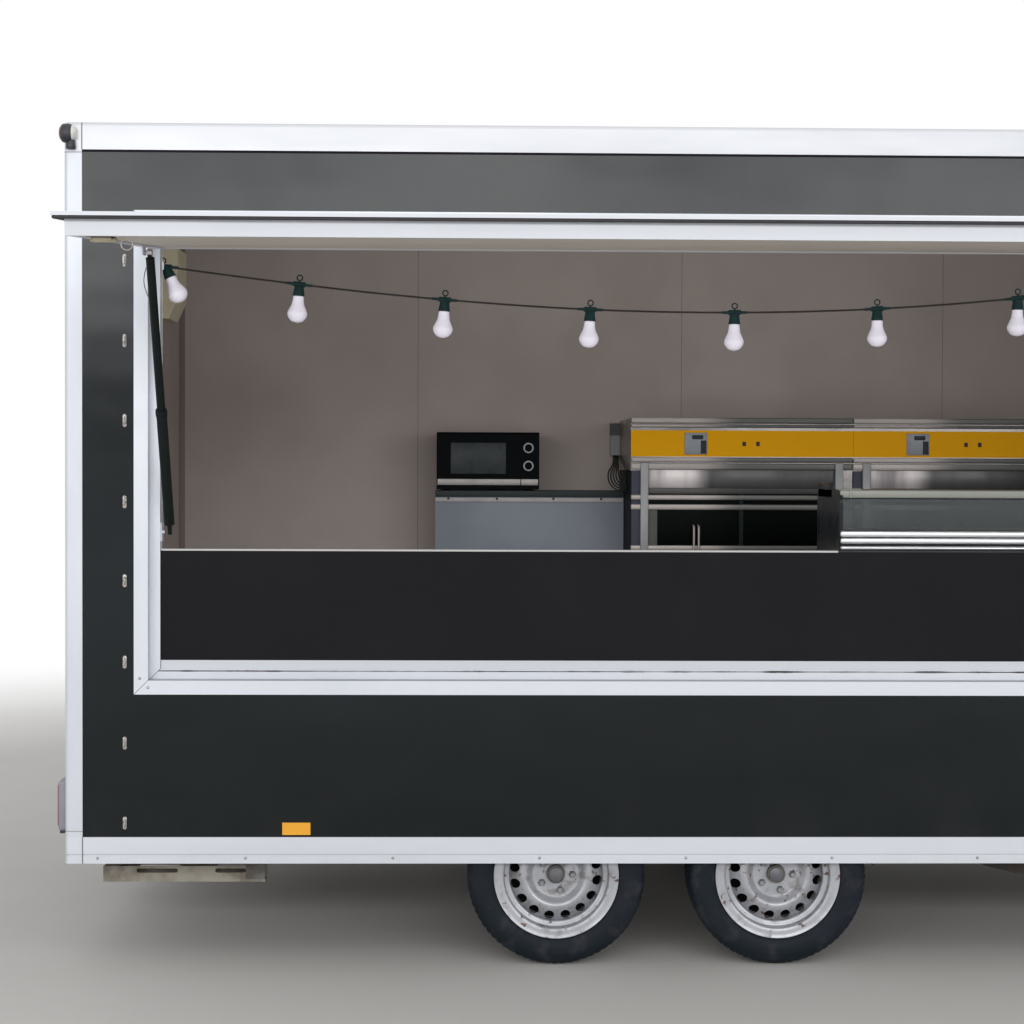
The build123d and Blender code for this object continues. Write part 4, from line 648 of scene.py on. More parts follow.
# The flap is a sandwich panel in an aluminium frame. Its outer skin is black gloss, its inner
# face cream, and a rubber seal runs round behind the frame's lip. A small cream catch with a
# pull ring sits at each end of the free edge.
hinge_reach, hinge_height = 0.024, 2.418
hinge = at(0, -hinge_reach, hinge_height)
flap_droop = radians(4.85)
flap_out = np.array([0, -cos(flap_droop), -sin(flap_droop)])
flap_down = np.array([0, sin(flap_droop), -cos(flap_droop)])
flap_length, flap_lip, flap_thickness = 1.488, 0.010, 0.060


def on_flap(station, out, down):
    """A point from its station, its distance out from the hinge, and its distance below the
    flap's outer skin."""
    return hinge + (station, 0, 0) + out * flap_out + down * flap_down


def flap_block(stations, outs, downs, edge=0.0015):
    """A block with round edges that lies square to the flap."""
    low, high = np.array(list(zip(stations, outs, downs)))
    grid, rows_wrap, columns_wrap = rounded_block(low, high, edge)
    return hinge + grid @ np.array([(1, 0, 0), flap_out, flap_down]), rows_wrap, columns_wrap


flap_skin = finish("flap panel", (17, 24, 27), (26, 32, 36), 0.15, specular=0.3, patches=0.8)
tree = flap_skin.node_tree
below_skin = shader(tree, "VectorMath", {0: place_on(tree), 1: tuple(flap_down)},
                    operation="DOT_PRODUCT").outputs["Value"]
hinge_level = float(np.dot(hinge, flap_down))
inner_face = maths(tree, "GREATER_THAN", below_skin, hinge_level + flap_thickness / 2)
overlay(flap_skin, inner_face, (214, 206, 196), 0.5)
grime = ramp(tree, cloud(tree, 3.0, 6.0), 0.5, 0.75, 0.0, 0.5)
overlay(flap_skin, both(tree, inner_face, grime), (190, 180, 168))
dress(flap_skin, "flap_panel")
# The flap's frame is a darker copy of the body's aluminium: painted shade.
flap_aluminium_shaded = finish("anodised flap frame in painted shade", (207, 210, 216), (196, 199, 206), 0.42,
                        stretch=(0.3, 1.0, 1.0), **aluminium_look)
dress(flap_aluminium_shaded, "flap_frame")

frame_low, frame_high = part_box("flap_frame")
lip_rear, lip_front = frame_low.x - rear_x, frame_high.x - rear_x
seal_width, seal_depth, seal_inset = 0.022, 0.0085, 0.003
seal_end = flap_length - seal_inset
seal_shapes = [
    flap_block((lip_rear + seal_inset, lip_front - seal_inset),
               (seal_end - seal_width, seal_end), (flap_lip, flap_lip + seal_depth), 0.003)
]
side_seal_width, side_seal_inset, side_seal_start = 0.009, 0.001, 0.05
for start in (lip_rear + side_seal_inset, lip_front - side_seal_inset - side_seal_width):
    seal_shapes.append(flap_block((start, start + side_seal_width),
                                  (side_seal_start, seal_end - seal_width),
                                  (flap_lip, flap_lip + seal_depth), 0.003))
seal_rubber = finish("seal rubber", (40, 36, 42), (62, 58, 62), 0.6, patches=8, relief=0.3)
fitting("flap_seal", seal_shapes, seal_rubber, body="flap")

catch_plastic = finish("cream catch", (206, 196, 170), (170, 160, 138), 0.5, patches=30)
catch_inset, catch_half, tongue_half, slot_half = 0.378, 0.033, 0.024, 0.028
pull_aside, pull_out, pull_down, pull_radius, pull_wire = 0.058, 1.352, 0.078, 0.015, 0.0014
for name, station, way in (("rear", catch_inset, 1), ("front", body_length - catch_inset, -1)):
    catch_shapes = [
        flap_block((station - catch_half, station + catch_half), (1.330, 1.375),
                   (0.063, 0.0735), 0.004),
        flap_block((station - tongue_half, station + tongue_half), (1.375, 1.392),
                   (0.062, 0.070), 0.003),
    ]
    fitting(f"flap_catch_{name}", catch_shapes, catch_plastic, body="flap")
    # The slot in each catch is a thin dark block laid on it: painted shade.
    slot_shade_shapes = [flap_block((station - slot_half, station + slot_half), (1.332, 1.376),
                              (0.0595, 0.0645), 0.001)]
    fitting(f"flap_catch_slot_shade_{name}", slot_shade_shapes, seal_rubber, body="flap")
    pull_spot = on_flap(station + way * pull_aside, pull_out, pull_down)
    fitting(f"flap_pull_{name}", [ring(pull_spot, flap_out, pull_radius, pull_wire)],
            bright_zinc, body="flap")


# The hatch's frame is aluminium too: a flange on the wall, mitred at its corners, a rebate for
# the flap and an inner return. Fine lines run along its sill where its profiles meet.
def below(tree, axis, limit):
    """1 where a coordinate is less than its limit."""
    return maths(tree, "LESS_THAN", part_of_place(tree, axis), limit)


hatch_aluminium = finish("anodised hatch frame", (227, 231, 239), (213, 218, 227), 0.42,
                         stretch=(0.5, 0.5, 0.5), **aluminium_look)
tree = hatch_aluminium.node_tree
hatch_bottom, hatch_top, hatch_margin = 0.907, 2.486, 0.226
rebate_back, sill_line_height, sill_gap_height = 0.048, 0.9535, 0.9800
line_half = 0.0011
side_in = maths(tree, "SUBTRACT", body_length / 2 - hatch_margin,
                from_middle(tree, "X", middle_x))
height_in = maths(tree, "SUBTRACT", (hatch_top - hatch_bottom) / 2,
                  from_middle(tree, "Z", (hatch_top + hatch_bottom) / 2))
mitre = near(tree, maths(tree, "SUBTRACT", side_in, height_in), 0.0, line_half)
outer_face = below(tree, "Y", serve_y + rebate_back)
overlay(hatch_aluminium, both(tree, mitre, outer_face), (112, 110, 112), 0.7)
frame_z = part_of_place(tree, "Z")
on_sill = maths(tree, "GREATER_THAN", side_in, height_in)
sill_line = both(tree, near(tree, frame_z, sill_line_height, line_half), on_sill)
# A dark line along the gap in the sill is painted shade in the gap, with dirt in it.
gap_half = ramp(tree, cloud(tree, 9.0, 6.0), 0.45, 0.75, 0.0018, 0.0042)
from_gap = away_from(tree, frame_z, sill_gap_height)
in_gap = both(tree, maths(tree, "LESS_THAN", from_gap, gap_half), on_sill)
gap_shade_and_dirt = ramp(tree, cloud(tree, 3.0, 5.0), 0.35, 0.6, 0.55, 0.95)
overlay(hatch_aluminium, maths(tree, "MULTIPLY", sill_line, 0.4), (130, 128, 130), 0.7)
overlay(hatch_aluminium, both(tree, in_gap, gap_shade_and_dirt), (50, 38, 30), 0.8)
dress(hatch_aluminium, "hatch_frame")
flange_proud = 0.004
mitre_screws = [
    turned(screw_profile, at(station, -flange_proud, height), (0, -1, 0), 12)
    for near_side, height in ((0.245, 0.960), (0.272, 0.930), (0.245, 2.433), (0.272, 2.463))
    for station in (near_side, body_length - near_side)
]
fitting("hatch_screws", mitre_screws, screw_steel)


# Black gas struts hold the flap: a tube from the flap's pin and a thicker sleeve on the jamb,
# with a collar where they meet, zinc-plated eyes, and a thin pull wire at the top.
strut_black = finish("strut paint", (14, 20, 21), (24, 30, 30), 0.45, specular=0.2, patches=12,
                     relief=0.1)
strut_foot_depth, strut_foot_height = 0.060, 1.437
strut_pin_out, strut_pin_down = 0.344, 0.078
collar_up = 0.430
collar_profile = ((0.0138, -0.012), (0.0182, -0.012), (0.0190, -0.006), (0.0190, 0.006),
                  (0.0180, 0.012), (0.0138, 0.012))
eye_profile = ((0.0070, -0.0075), (0.0100, -0.0075), (0.0100, 0.0075), (0.0070, 0.0075))
wire_start, wire_run, wire_bow, wire_aside, wire_radius = 0.050, 0.095, 0.010, 0.0145, 0.0012
share = np.linspace(0, 1, 17)[:, None]
for end in ("rear", "front"):
    dress(strut_black, f"strut_rod_{end}", f"strut_sleeve_{end}")
    rod_low, rod_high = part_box(f"strut_rod_{end}")
    middle = (rod_low.x + rod_high.x) / 2
    foot = np.array([middle, serve_y + strut_foot_depth, strut_foot_height])
    pin = on_flap(middle - rear_x, strut_pin_out, strut_pin_down)
    up = unit(pin - foot)
    fitting(f"strut_collar_{end}",
            [turned(collar_profile, foot + collar_up * up, up, 32, closed=True)],
            strut_black, body=f"strut_sleeve_{end}")
    fitting(f"strut_eye_{end}", [turned(eye_profile, pin, (1, 0, 0), 24, closed=True)],
            bright_zinc, body=f"strut_rod_{end}")
    aside = wire_aside + wire_bow * np.sin(pi * share)
    wire = pin - (wire_start + wire_run * share) * up - aside * np.array([1, 0, 0])
    fitting(f"strut_wire_{end}", [round_bar(wire, wire_radius, 6)], strut_black,
            body=f"strut_rod_{end}")


# The counter: a matt black front board behind the frame, a white strip along its foot, and a
# pale laminate top whose edge shows as a thin white line.
board_black = finish("counter board", (30, 30, 33), (34, 34, 37), 0.7, specular=0.12, patches=3,
                     relief=0.25, grain=1500)
tree = board_black.node_tree
strip_head, edge_foot, edge_back, case_start = 1.0149, 1.3757, 0.090, 2.545
overlay(board_black, below(tree, "Z", strip_head), (226, 230, 237), 0.45)
before_case = below(tree, "X", rear_x + case_start)
overlay(board_black, both(tree, before_case, above(tree, "Z", edge_foot)), (206, 206, 208), 0.45)
dress(board_black, "counter_front")
laminate = finish("counter laminate", (214, 214, 214), (200, 200, 202), 0.4, patches=5)
tree = laminate.node_tree
past_case = above(tree, "X", rear_x + case_start)
front_edge = below(tree, "Y", serve_y + edge_back)
overlay(laminate, both(tree, past_case, front_edge), (38, 38, 41), 0.6)
dress(laminate, "counter_top", "counter_base")


# A glazed display case stands on the counter: black rounded end plates, a steel-edged glass
# shelf on top, and three polished aluminium bands along its foot.
case_black = finish("case end", (14, 17, 20), (24, 27, 30), 0.3, specular=0.15, patches=8)
dress(case_black, "display_case")
case_low, case_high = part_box("display_case")
case_polished = finish("polished band", (232, 234, 238), (206, 208, 212), 0.22, metallic=0.7,
                       patches=3, stretch=(0.2, 1, 1))
band_face = case_low.y - serve_y
case_inset, band_heights = 0.003, ((1.383, 1.3965), (1.404, 1.4235), (1.4265, 1.4465))
band_start, band_end = case_low.x - rear_x + case_inset, case_high.x - rear_x - case_inset
fitting("case_bands", [
    slab((band_start, band_end), (band_face - 0.010, band_face + 0.004), heights, 0.006)
    for heights in band_heights
], case_polished)
shelf_steel = finish("shelf steel", (92, 94, 88), (76, 79, 75), 0.4, metallic=0.3,
                     patches=3, stretch=(0.2, 1, 1))
case_top = case_high.z
# The shelf's front rail, a clip on it, and the sliding door's grip behind it
fitting("case_top_rail", [
    slab((band_start, band_end), (band_face + 0.008, band_face + 0.022),
         (case_top - 0.025, case_top + 0.001), 0.004),
    slab((band_start + 0.032, band_start + 0.040), (band_face + 0.005, band_face + 0.012),
         (case_top - 0.026, case_top + 0.002), 0.002),
    slab((band_start, band_start + 0.080), (band_face + 0.045, band_face + 0.060),
         (case_top - 0.001, case_top + 0.006), 0.002),
], shelf_steel)
# Each end plate stands a little above the shelf, and its corners are round.
end_plate_thickness, end_plate_depths = 0.012, (0.235, 0.505)
fitting("case_end_caps", [
    slab((station, station + end_plate_thickness), end_plate_depths,
         (case_top - 0.030, case_top + 0.024), 0.0045)
    for station in (case_low.x - rear_x, case_high.x - rear_x - end_plate_thickness)
], case_black)


def glass_finish(name, colour):
    """Clear glass: it lets light through straight and mirrors a little at its surface."""
    made = bpy.data.materials.new(name)
    made.use_nodes = True
    skin = made.node_tree.nodes["Principled BSDF"]
    skin.inputs["Base Color"].default_value = linear(colour)
    skin.inputs["Transmission Weight"].default_value = 1.0
    skin.inputs["Roughness"].default_value = 0.02
    skin.inputs["IOR"].default_value = 1.45
    return made


case_glass = glass_finish("case glass", (150, 158, 160))
dress(case_glass, "display_glass")


# Along the far wall: a dark-edged bench on a blue-grey panel with a white batten under the
# edge, a black microwave, two steel ovens with yellow bands, a grey fuse box with looped
# cables, and a cream paper dispenser.
bench_grey, batten_grey = (112, 118, 128), (158, 154, 156)
bench_paint = finish("bench panel", bench_grey, (100, 107, 117), 0.5, patches=2)
tree = bench_paint.node_tree
bench_low, bench_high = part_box("back_bench")
bench_edge_height = 0.028
overlay(bench_paint, above(tree, "Z", bench_high.z - bench_edge_height), (22, 34, 36), 0.6)
dress(bench_paint, "back_bench")
batten_white = finish("bench batten", batten_grey, (140, 137, 139), 0.5, patches=10)
bench_start, bench_end = bench_low.x - rear_x, bench_high.x - rear_x
bench_face, batten_thickness, batten_downs, batten_screw_down = 2.027, 0.006, (0.048, 0.030), 0.034
batten_heights = [bench_high.z - down for down in batten_downs]
batten = slab((bench_start, bench_end - 0.002), (bench_face - batten_thickness, bench_face),
              batten_heights)
fitting("bench_batten", [batten], batten_white)
batten_screws = [
    turned(screw_profile, at(station, bench_face - batten_thickness,
                             bench_high.z - batten_screw_down), (0, -1, 0), 10)
    for station in (1.232, 1.440, 1.683, 1.888)
]
dark_screw = finish("dark screw", (30, 36, 40), (50, 54, 56), 0.5, specular=0.2, patches=60)
fitting("batten_screws", batten_screws, dark_screw)

microwave_black = finish("microwave case", (3, 5, 7), (10, 12, 14), 0.35, specular=0.03,
                         patches=8)
dress(microwave_black, "microwave")
microwave_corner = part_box("microwave")[0]
face_depth = microwave_corner.y - serve_y
left, foot_z = microwave_corner.x - rear_x, microwave_corner.z
on_door = (face_depth - 0.0015, face_depth + 0.004)
window_grey = finish("microwave window", (48, 54, 54), (68, 68, 72), 0.3, specular=0.1, patches=7,
                     worn=0.8)
silver_trim = finish("silver trim", (146, 141, 139), (130, 125, 124), 0.35, metallic=0.3,
                     patches=12)
ring_silver = finish("ring silver", (186, 188, 192), (168, 170, 174), 0.35, metallic=0.3,
                     patches=12)
fitting("microwave_window", [
    slab((left + 0.060, left + 0.298), on_door, (foot_z + 0.072, foot_z + 0.206), 0.003)
], window_grey)
# A silver strip along the foot, parted between the door and the controls
fitting("microwave_trim", [
    slab((left + start, left + end), on_door, (foot_z + 0.024, foot_z + 0.050), 0.0012)
    for start, end in ((0.004, 0.360), (0.363, 0.436))
], silver_trim)
knob_profile = ((0, 0.020), (0.012, 0.020), (0.0155, 0.017), (0.0185, 0.0), (0, 0))
knob_along, knob_heights = 0.394, (0.107, 0.184)
ring_out, knob_ring_radius, knob_ring_wire = 0.012, 0.0190, 0.0033
knob_shapes, ring_shapes = [], []
for height in knob_heights:
    knob_spot = at(left + knob_along, face_depth, foot_z + height)
    knob_shapes.append(turned(knob_profile, knob_spot, (0, -1, 0), 28))
    ring_shapes.append(ring(knob_spot - (0, ring_out, 0), (0, 1, 0), knob_ring_radius,
                            knob_ring_wire))
fitting("microwave_knobs", knob_shapes, microwave_black)
fitting("microwave_rings", ring_shapes, ring_silver)

# The ovens' front is steel with a yellow band, ledges above and below the band, a steel frame
# round dark doors, and two upright handles side by side.
steel_sheen = 0.75
oven_steel = finish("oven steel", (150, 146, 144), (98, 96, 96), 0.26, metallic=steel_sheen,
                    specular=0.12, patches=1.8, worn=0.9, stretch=(1.0, 1.0, 2.5))
tree = oven_steel.node_tree
oven_front, band_foot, band_head = 1.700, 1.7005, 1.8085
band_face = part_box("ovens")[0].y - serve_y
in_band = both(tree, above(tree, "Z", band_foot), below(tree, "Z", band_head))
yellow = both(tree, in_band, below(tree, "Y", serve_y + band_face + 0.001))
overlay(oven_steel, yellow, (196, 140, 2), 0.6)
sheen = maths(tree, "SUBTRACT", steel_sheen, maths(tree, "MULTIPLY", yellow, steel_sheen))
tree.links.new(sheen, tree.nodes["Principled BSDF"].inputs["Metallic"])
oven_width, oven_starts = 0.920, (1.988, 2.909)
oven_pitch = oven_starts[1] - oven_starts[0]


def along_oven(tree):
    """How far the point is from the rear end of its oven."""
    from_first = maths(tree, "SUBTRACT", part_of_place(tree, "X"), rear_x + oven_starts[0])
    return maths(tree, "MODULO", from_first, oven_pitch)


def shade_forward(material, colour, start, end, most):
    """The room reflects darker towards the front end of each oven."""
    tree = material.node_tree
    overlay(material, ramp(tree, along_oven(tree), start, end, 0.0, most), colour)


# Below the band the oven stands on a narrower frame, beside which the bench shows, painted darker
# than the bench itself as painted shade under the band. The windows and the post between them are
# dark glass.
frame_head, beside_width, edge_width, mid_post_half = 1.643, 0.041, 0.004, 0.009
window_depths = (serve_y + oven_front + 0.0115, serve_y + oven_front + 0.0125)
low = below(tree, "Z", frame_head)
for width, colour in ((beside_width, (74, 74, 86)), (edge_width, (24, 34, 36))):
    beside = both(tree, low, maths(tree, "LESS_THAN", along_oven(tree), width))
    overlay(oven_steel, beside, colour, 0.6)
# The first oven's side carries on the bench's dark edge, batten and panel.
on_side = below(tree, "X", rear_x + oven_starts[0] - 0.002)
batten_foot, batten_head = batten_heights
for head_height, colour in ((bench_high.z, (24, 34, 36)), (batten_head, batten_grey),
                            (batten_foot, bench_grey)):
    overlay(oven_steel, both(tree, on_side, below(tree, "Z", head_height)), colour, 0.6)
in_window = both(tree, above(tree, "Y", window_depths[0]), below(tree, "Y", window_depths[1]))
overlay(oven_steel, in_window, (10, 12, 12), 0.2)
from_post = away_from(tree, along_oven(tree), oven_width / 2)
on_post = both(tree, low, maths(tree, "LESS_THAN", from_post, mid_post_half))
overlay(oven_steel, on_post, (22, 30, 28), 0.4)
dress(oven_steel, "ovens")
plate_grey = finish("control plate", (112, 116, 122), (94, 98, 104), 0.4, patches=20)
steel_trim = finish("steel edge", (160, 153, 149), (130, 124, 122), 0.42, metallic=0.35,
                    patches=1.6, worn=0.9, stretch=(0.3, 1.0, 1.0))
shade_forward(steel_trim, (48, 56, 54), 0.26, 0.46, 0.8)
# The recesses' brushed steel has broad upright light and dark streaks: painted glints and
# reflections.
brushed_steel_painted_glints = finish("brushed steel with painted glints", (176, 170, 170), (112, 106, 108), 0.34, metallic=0.4,
                       patches=7.0, worn=1.0, stretch=(1.0, 1.0, 0.1))
shade_forward(brushed_steel_painted_glints, (22, 26, 30), 0.23, 0.34, 0.9)
sill_grey = finish("oven sill", (66, 64, 64), (50, 52, 50), 0.45, metallic=0.3, patches=3)
shade_forward(sill_grey, (30, 34, 32), 0.26, 0.46, 0.7)
post_steel = finish("oven post", (130, 131, 133), (112, 114, 116), 0.45, metallic=0.2, patches=4)
# Ledges across the whole front, as (foot height, head height, how far they stand proud)
ledges = ((1.838, 1.861, 0.017), (1.821, 1.834, 0.019), (1.677, 1.697, 0.019),
          (1.646, 1.673, 0.010), (1.521, 1.542, 0.016), (1.480, 1.503, 0.010),
          (1.312, 1.333, 0.012))
post_inset, post_size, jamb_size, recess_inset = 0.040, 0.033, 0.039, 0.058
# Display and keys on the control plate, and two switches beside it, by their ends along the
# oven and their heights
display_slots = (((0.252, 0.298), (1.772, 1.789)), ((0.288, 0.311), (1.713, 1.767)))
switch_places, switch_half = (0.468, 0.525), 0.007
into_front, on_band = 0.004, (band_face - 0.004, band_face + 0.002)
# A handle's line, as (depth from the oven's front, height)
handle_line = ((-0.002, 1.285), (-0.022, 1.290), (-0.026, 1.310), (-0.026, 1.390),
               (-0.022, 1.410), (-0.002, 1.415))
handle_places, handle_radius = (-0.199, -0.179), 0.0045
handle_shapes, ledge_shapes, plate_shapes, dark_shapes = [], [], [], []
recess_shapes, sill_shapes, post_shapes = [], [], []
for start in oven_starts:
    end = start + oven_width
    middle = (start + end) / 2
    for foot_height, head_height, proud in ledges:
        ledge_shapes.append(slab((start + 0.001, end - 0.001),
                                 (oven_front - proud, oven_front + into_front),
                                 (foot_height, head_height), 0.004))
    for post in (start + post_inset, end - post_inset - post_size):
        post_shapes.append(slab((post, post + post_size),
                                (oven_front - 0.018, oven_front + into_front),
                                (0.92, 1.675), 0.003))
    between = (start + recess_inset, end - recess_inset)
    recess_shapes.append(slab(between, (oven_front - 0.001, oven_front + 0.010),
                              (1.571, 1.648), 0.0008))
    sill_shapes.append(slab(between, (oven_front - 0.003, oven_front + 0.003), (1.546, 1.571)))
    for side in (start + post_inset + post_size, end - post_inset - post_size - jamb_size):
        sill_shapes.append(slab((side, side + jamb_size),
                                (oven_front + 0.002, oven_front + 0.0115), (0.955, 1.480), 0.001))
    plate_shapes.append(slab((start + 0.221, start + 0.315), on_band, (1.709, 1.799)))
    for along, heights in display_slots:
        dark_shapes.append(slab([start + place for place in along],
                                (band_face - 0.006, band_face - 0.002), heights, 0.001))
    for place in switch_places:
        dark_shapes.append(slab((start + place - switch_half, start + place + switch_half),
                                on_band, (1.745, 1.763), 0.0015))
    for place in handle_places:
        bar = [at(middle + place, oven_front + reach, height) for reach, height in handle_line]
        handle_shapes.append(round_bar(curve_through(bar, 4), handle_radius, 10, side=(1, 0, 0)))
fitting("oven_posts", post_shapes, post_steel)
fitting("oven_recesses", recess_shapes, brushed_steel_painted_glints)
fitting("oven_sills", sill_shapes, sill_grey)
fitting("oven_ledges", ledge_shapes, steel_trim)
fitting("oven_handles", handle_shapes, steel_trim)
fitting("oven_plates", plate_shapes, plate_grey)
fitting("oven_switches", dark_shapes, dark_screw)

# The dispenser hangs at the rear end, and the fuse box further on, with a darker upper half.
box_plastic = finish("wall boxes", (206, 198, 172), (186, 176, 150), 0.5, patches=8)
tree = box_plastic.node_tree
past_dispenser, fuse_cover_foot = 1.0, 1.795
fuse_box = above(tree, "X", rear_x + past_dispenser)
overlay(box_plastic, fuse_box, (132, 130, 132), 0.5)
overlay(box_plastic, both(tree, fuse_box, above(tree, "Z", fuse_cover_foot)), (74, 72, 74), 0.6)
dress(box_plastic, "wall_boxes")
# The ovens' cables leave the fuse box below and hang in loops to the first oven's side.
cable_count, cable_thickness = 5, 0.0034
cable_shapes = []
for number in range(cable_count):
    start = at(1.962 + 0.0045 * number, 2.315, 1.712)
    loop = [start, start + (0, 0, -0.012),
            at(1.947 + 0.006 * number, 2.150, 1.668 - 0.003 * number),
            at(1.918 + 0.011 * number, 2.020, 1.630 - 0.002 * number),
            at(1.920 + 0.011 * number, 1.960, 1.588 + 0.004 * number),
            at(1.950 + 0.006 * number, 1.930, 1.559 + 0.009 * number),
            at(1.986, 1.920, 1.566 + 0.013 * number)]
    cable_shapes.append(round_bar(curve_through(loop, 6), cable_thickness, 8, side=(0, 0, 1)))
cable_rubber = finish("cable rubber", (26, 32, 32), (40, 46, 46), 0.5, patches=30)
fitting("oven_cables", cable_shapes, cable_rubber)


# The staff door in the rear wall is a leaf of the walls' own sandwich panel, hung on three
# galvanised hinges, with a black lever handle.
zinc = finish("galvanised steel", (150, 152, 154), (112, 112, 112), 0.42, metallic=0.6, patches=14,
              worn=0.8, relief=0.2)
dress(zinc, "door_hinges")
dress(strut_black, "door_handle")


# The chassis below the floor is galvanised and dirty: rails, cross members, axles, steady
# legs and the drawbar, whose rear ends taper up to the rails. Black parts carry the coupling.
under_steel = finish("chassis steel", (118, 116, 112), (72, 66, 60), 0.55, metallic=0.4, patches=7,
                     worn=1.0, relief=0.4, grain=200)
road_dirt(under_steel, 0.6, (70, 60, 50), 0.8, 12.0)
dress(under_steel, "chassis_rails", "cross_members", "axles", "steady_brackets")
leg_steel = finish("steady steel", (164, 158, 146), (112, 104, 92), 0.5, metallic=0.4, patches=9,
                   worn=0.9, relief=0.3, grain=200)
for end in ("rear", "front"):
    for side in ("serving", "far"):
        dress(leg_steel, f"steady_leg_{end}_{side}")
# The drawbar beams are painted far darker than the rest of the chassis: painted shade, with
# rust-brown dirt patches.
drawbar_steel_shaded = finish("drawbar steel in painted shade", (58, 54, 52), (86, 62, 46), 0.6, metallic=0.2, patches=8,
                    worn=0.9, relief=0.4, grain=200)
dress(drawbar_steel_shaded, "drawbar_beams")
black_paint = finish("black paint", (22, 23, 24), (40, 38, 36), 0.42, patches=10, relief=0.2)
dress(black_paint, "overrun_housing", "wheel_boxes")
dress(zinc, "coupling_head", "jockey_clamp", "jockey_stem", "jockey_leg")
gaiter_rubber = finish("gaiter rubber", (28, 28, 29), (46, 44, 42), 0.6, patches=16, relief=0.2)
dress(gaiter_rubber, "gaiter", "jockey_wheel")


# Each wheel is a steel wheel, painted silver, with a worn road tyre. The disc has sixteen
# round vents in its slope, a raised crown and a flat pad with five bolts round the hub cap.
wheel_radius, wheel_depth, wheel_stations = 0.297, 0.140, (1.614, 2.352)
tyre_section = curve_through(
    ((0.1912, 0.0785), (0.2068, 0.0792), (0.2130, 0.0860), (0.2300, 0.0930), (0.2480, 0.0945),
     (0.2660, 0.0920), (0.2800, 0.0872), (0.2890, 0.0800), (0.2942, 0.0700), (0.2962, 0.0500),
     (0.2970, 0.0250), (0.2970, 0.0)), 5)
tyre_section = np.vstack([tyre_section, tyre_section[-2::-1] * (1, -1)])
groove_places, groove_half, groove_deep = (0.058, 0.024, -0.024, -0.058), 0.003, 0.0065
sipe_count, sipe_slant, sipe_start, sipe_deep = 72, 60, 0.030, 0.0042
crown_start, crown_blend = 0.283, 0.008
ring_band, ring_first, ring_waves, ring_tall = (0.222, 0.262), 0.225, 900, 0.0006
angle_steps = sipe_count * 5


def tyre_shape(centre, out):
    """The tyre's section carried round the axle. The tread is drawn in by narrow grooves round
    the tyre and by slanting sipes across its shoulders, and fine rings stand on the sidewall."""
    radius, side = tyre_section.T
    angle = 2 * pi * np.arange(angle_steps) / angle_steps
    crown = np.clip((radius - crown_start) / crown_blend, 0, 1)[:, None]
    groove = sum(np.clip(1.5 - np.abs(side - place) / groove_half, 0, 1)
                 for place in groove_places)
    slant = sipe_count * angle[None] + sipe_slant * np.abs(side)[:, None]
    sipe = np.clip(3.2 * np.cos(slant) - 2.0, 0, 1) * (np.abs(side) > sipe_start)[:, None]
    cut = crown * np.maximum(groove_deep * np.clip(groove, 0, 1)[:, None], sipe_deep * sipe)
    in_ring_band = (radius > ring_band[0]) * (radius < ring_band[1])
    rings = ring_tall * (np.cos((radius - ring_first) * ring_waves) > 0.6) * in_ring_band
    reach = radius[:, None] - cut
    along = (side + rings * np.sign(side))[:, None]
    x = reach * np.cos(angle)
    z = reach * np.sin(angle)
    y = np.broadcast_to(along * out, x.shape)
    grid = centre + np.stack([x, y, z], -1)
    return grid, True, True


def speckle(material, patches, start, end, most, colour, roughness):
    """Small patches of dust, mud or rust, more of them the lower the start."""
    tree = material.node_tree
    spots = ramp(tree, cloud(tree, patches, 8.0), start, end, 0.0, most)
    overlay(material, spots, colour, roughness)


tyre_rubber = finish("tyre rubber", (20, 29, 37), (34, 38, 47), 0.62, specular=0.2, patches=9,
                     worn=0.8, relief=0.3, grain=260)
speckle(tyre_rubber, 16.0, 0.50, 0.75, 0.4, (76, 74, 78), 0.85)
wheel_silver = finish("wheel silver", (186, 188, 194), (160, 162, 168), 0.36, metallic=0.35,
                      patches=12, worn=0.7, relief=0.15, grain=400)
mud, rust = (118, 110, 102), (104, 62, 40)
speckle(wheel_silver, 22.0, 0.52, 0.72, 0.7, mud, 0.8)
speckle(wheel_silver, 42.0, 0.60, 0.68, 0.9, rust, 0.85)
hub_grey = finish("hub cap", (112, 112, 118), (88, 86, 88), 0.45, metallic=0.3, patches=30)
drum_black = finish("brake drum", (10, 10, 10), (18, 16, 15), 0.8, specular=0.1, patches=20)

# Disc and rim outline, as (radius, distance outboard of the wheel's centre plane)
disc_line = curve_through(
    ((0.1660, 0.012), (0.1640, 0.020), (0.1600, 0.0235), (0.1530, 0.0275), (0.1290, 0.0480),
     (0.1180, 0.0555), (0.1070, 0.0585), (0.0975, 0.0560), (0.0860, 0.0455), (0.0780, 0.0390),
     (0.0700, 0.0378), (0.0315, 0.0378)), 5)
rim_section = curve_through(
    ((0.1562, 0.0260), (0.1556, 0.0470), (0.1572, 0.0525), (0.1620, 0.0550), (0.1700, 0.0565),
     (0.1730, 0.0600), (0.1742, 0.0730), (0.1765, 0.0795), (0.1840, 0.0820), (0.1960, 0.0830),
     (0.2040, 0.0848), (0.2068, 0.0860), (0.2080, 0.0845), (0.2078, 0.0800)), 4)
barrel = ((0.1640, 0.0340), (0.1640, -0.018), (0.1890, -0.048), (0.1890, -0.078),
          (0.2060, -0.082), (0.2060, -0.085), (0.1860, -0.080), (0.1860, -0.052),
          (0.1600, -0.021), (0.1600, 0.0180))
vent_count, vent_radius = 16, 0.0164
vent_zone = (0.1215, 0.1570)
vent_phase, bolt_phase = radians(-8.9), radians(-3.0)
disc_wall = 0.004
wheel_facets = 192
bolt_count, bolt_circle, bolt_seat = 5, 0.056, 0.0376
bolt_profile = ((0, 0.014), (0.0085, 0.014), (0.0098, 0.012), (0.0098, 0.004), (0.0135, 0.0),
                (0, 0.0))
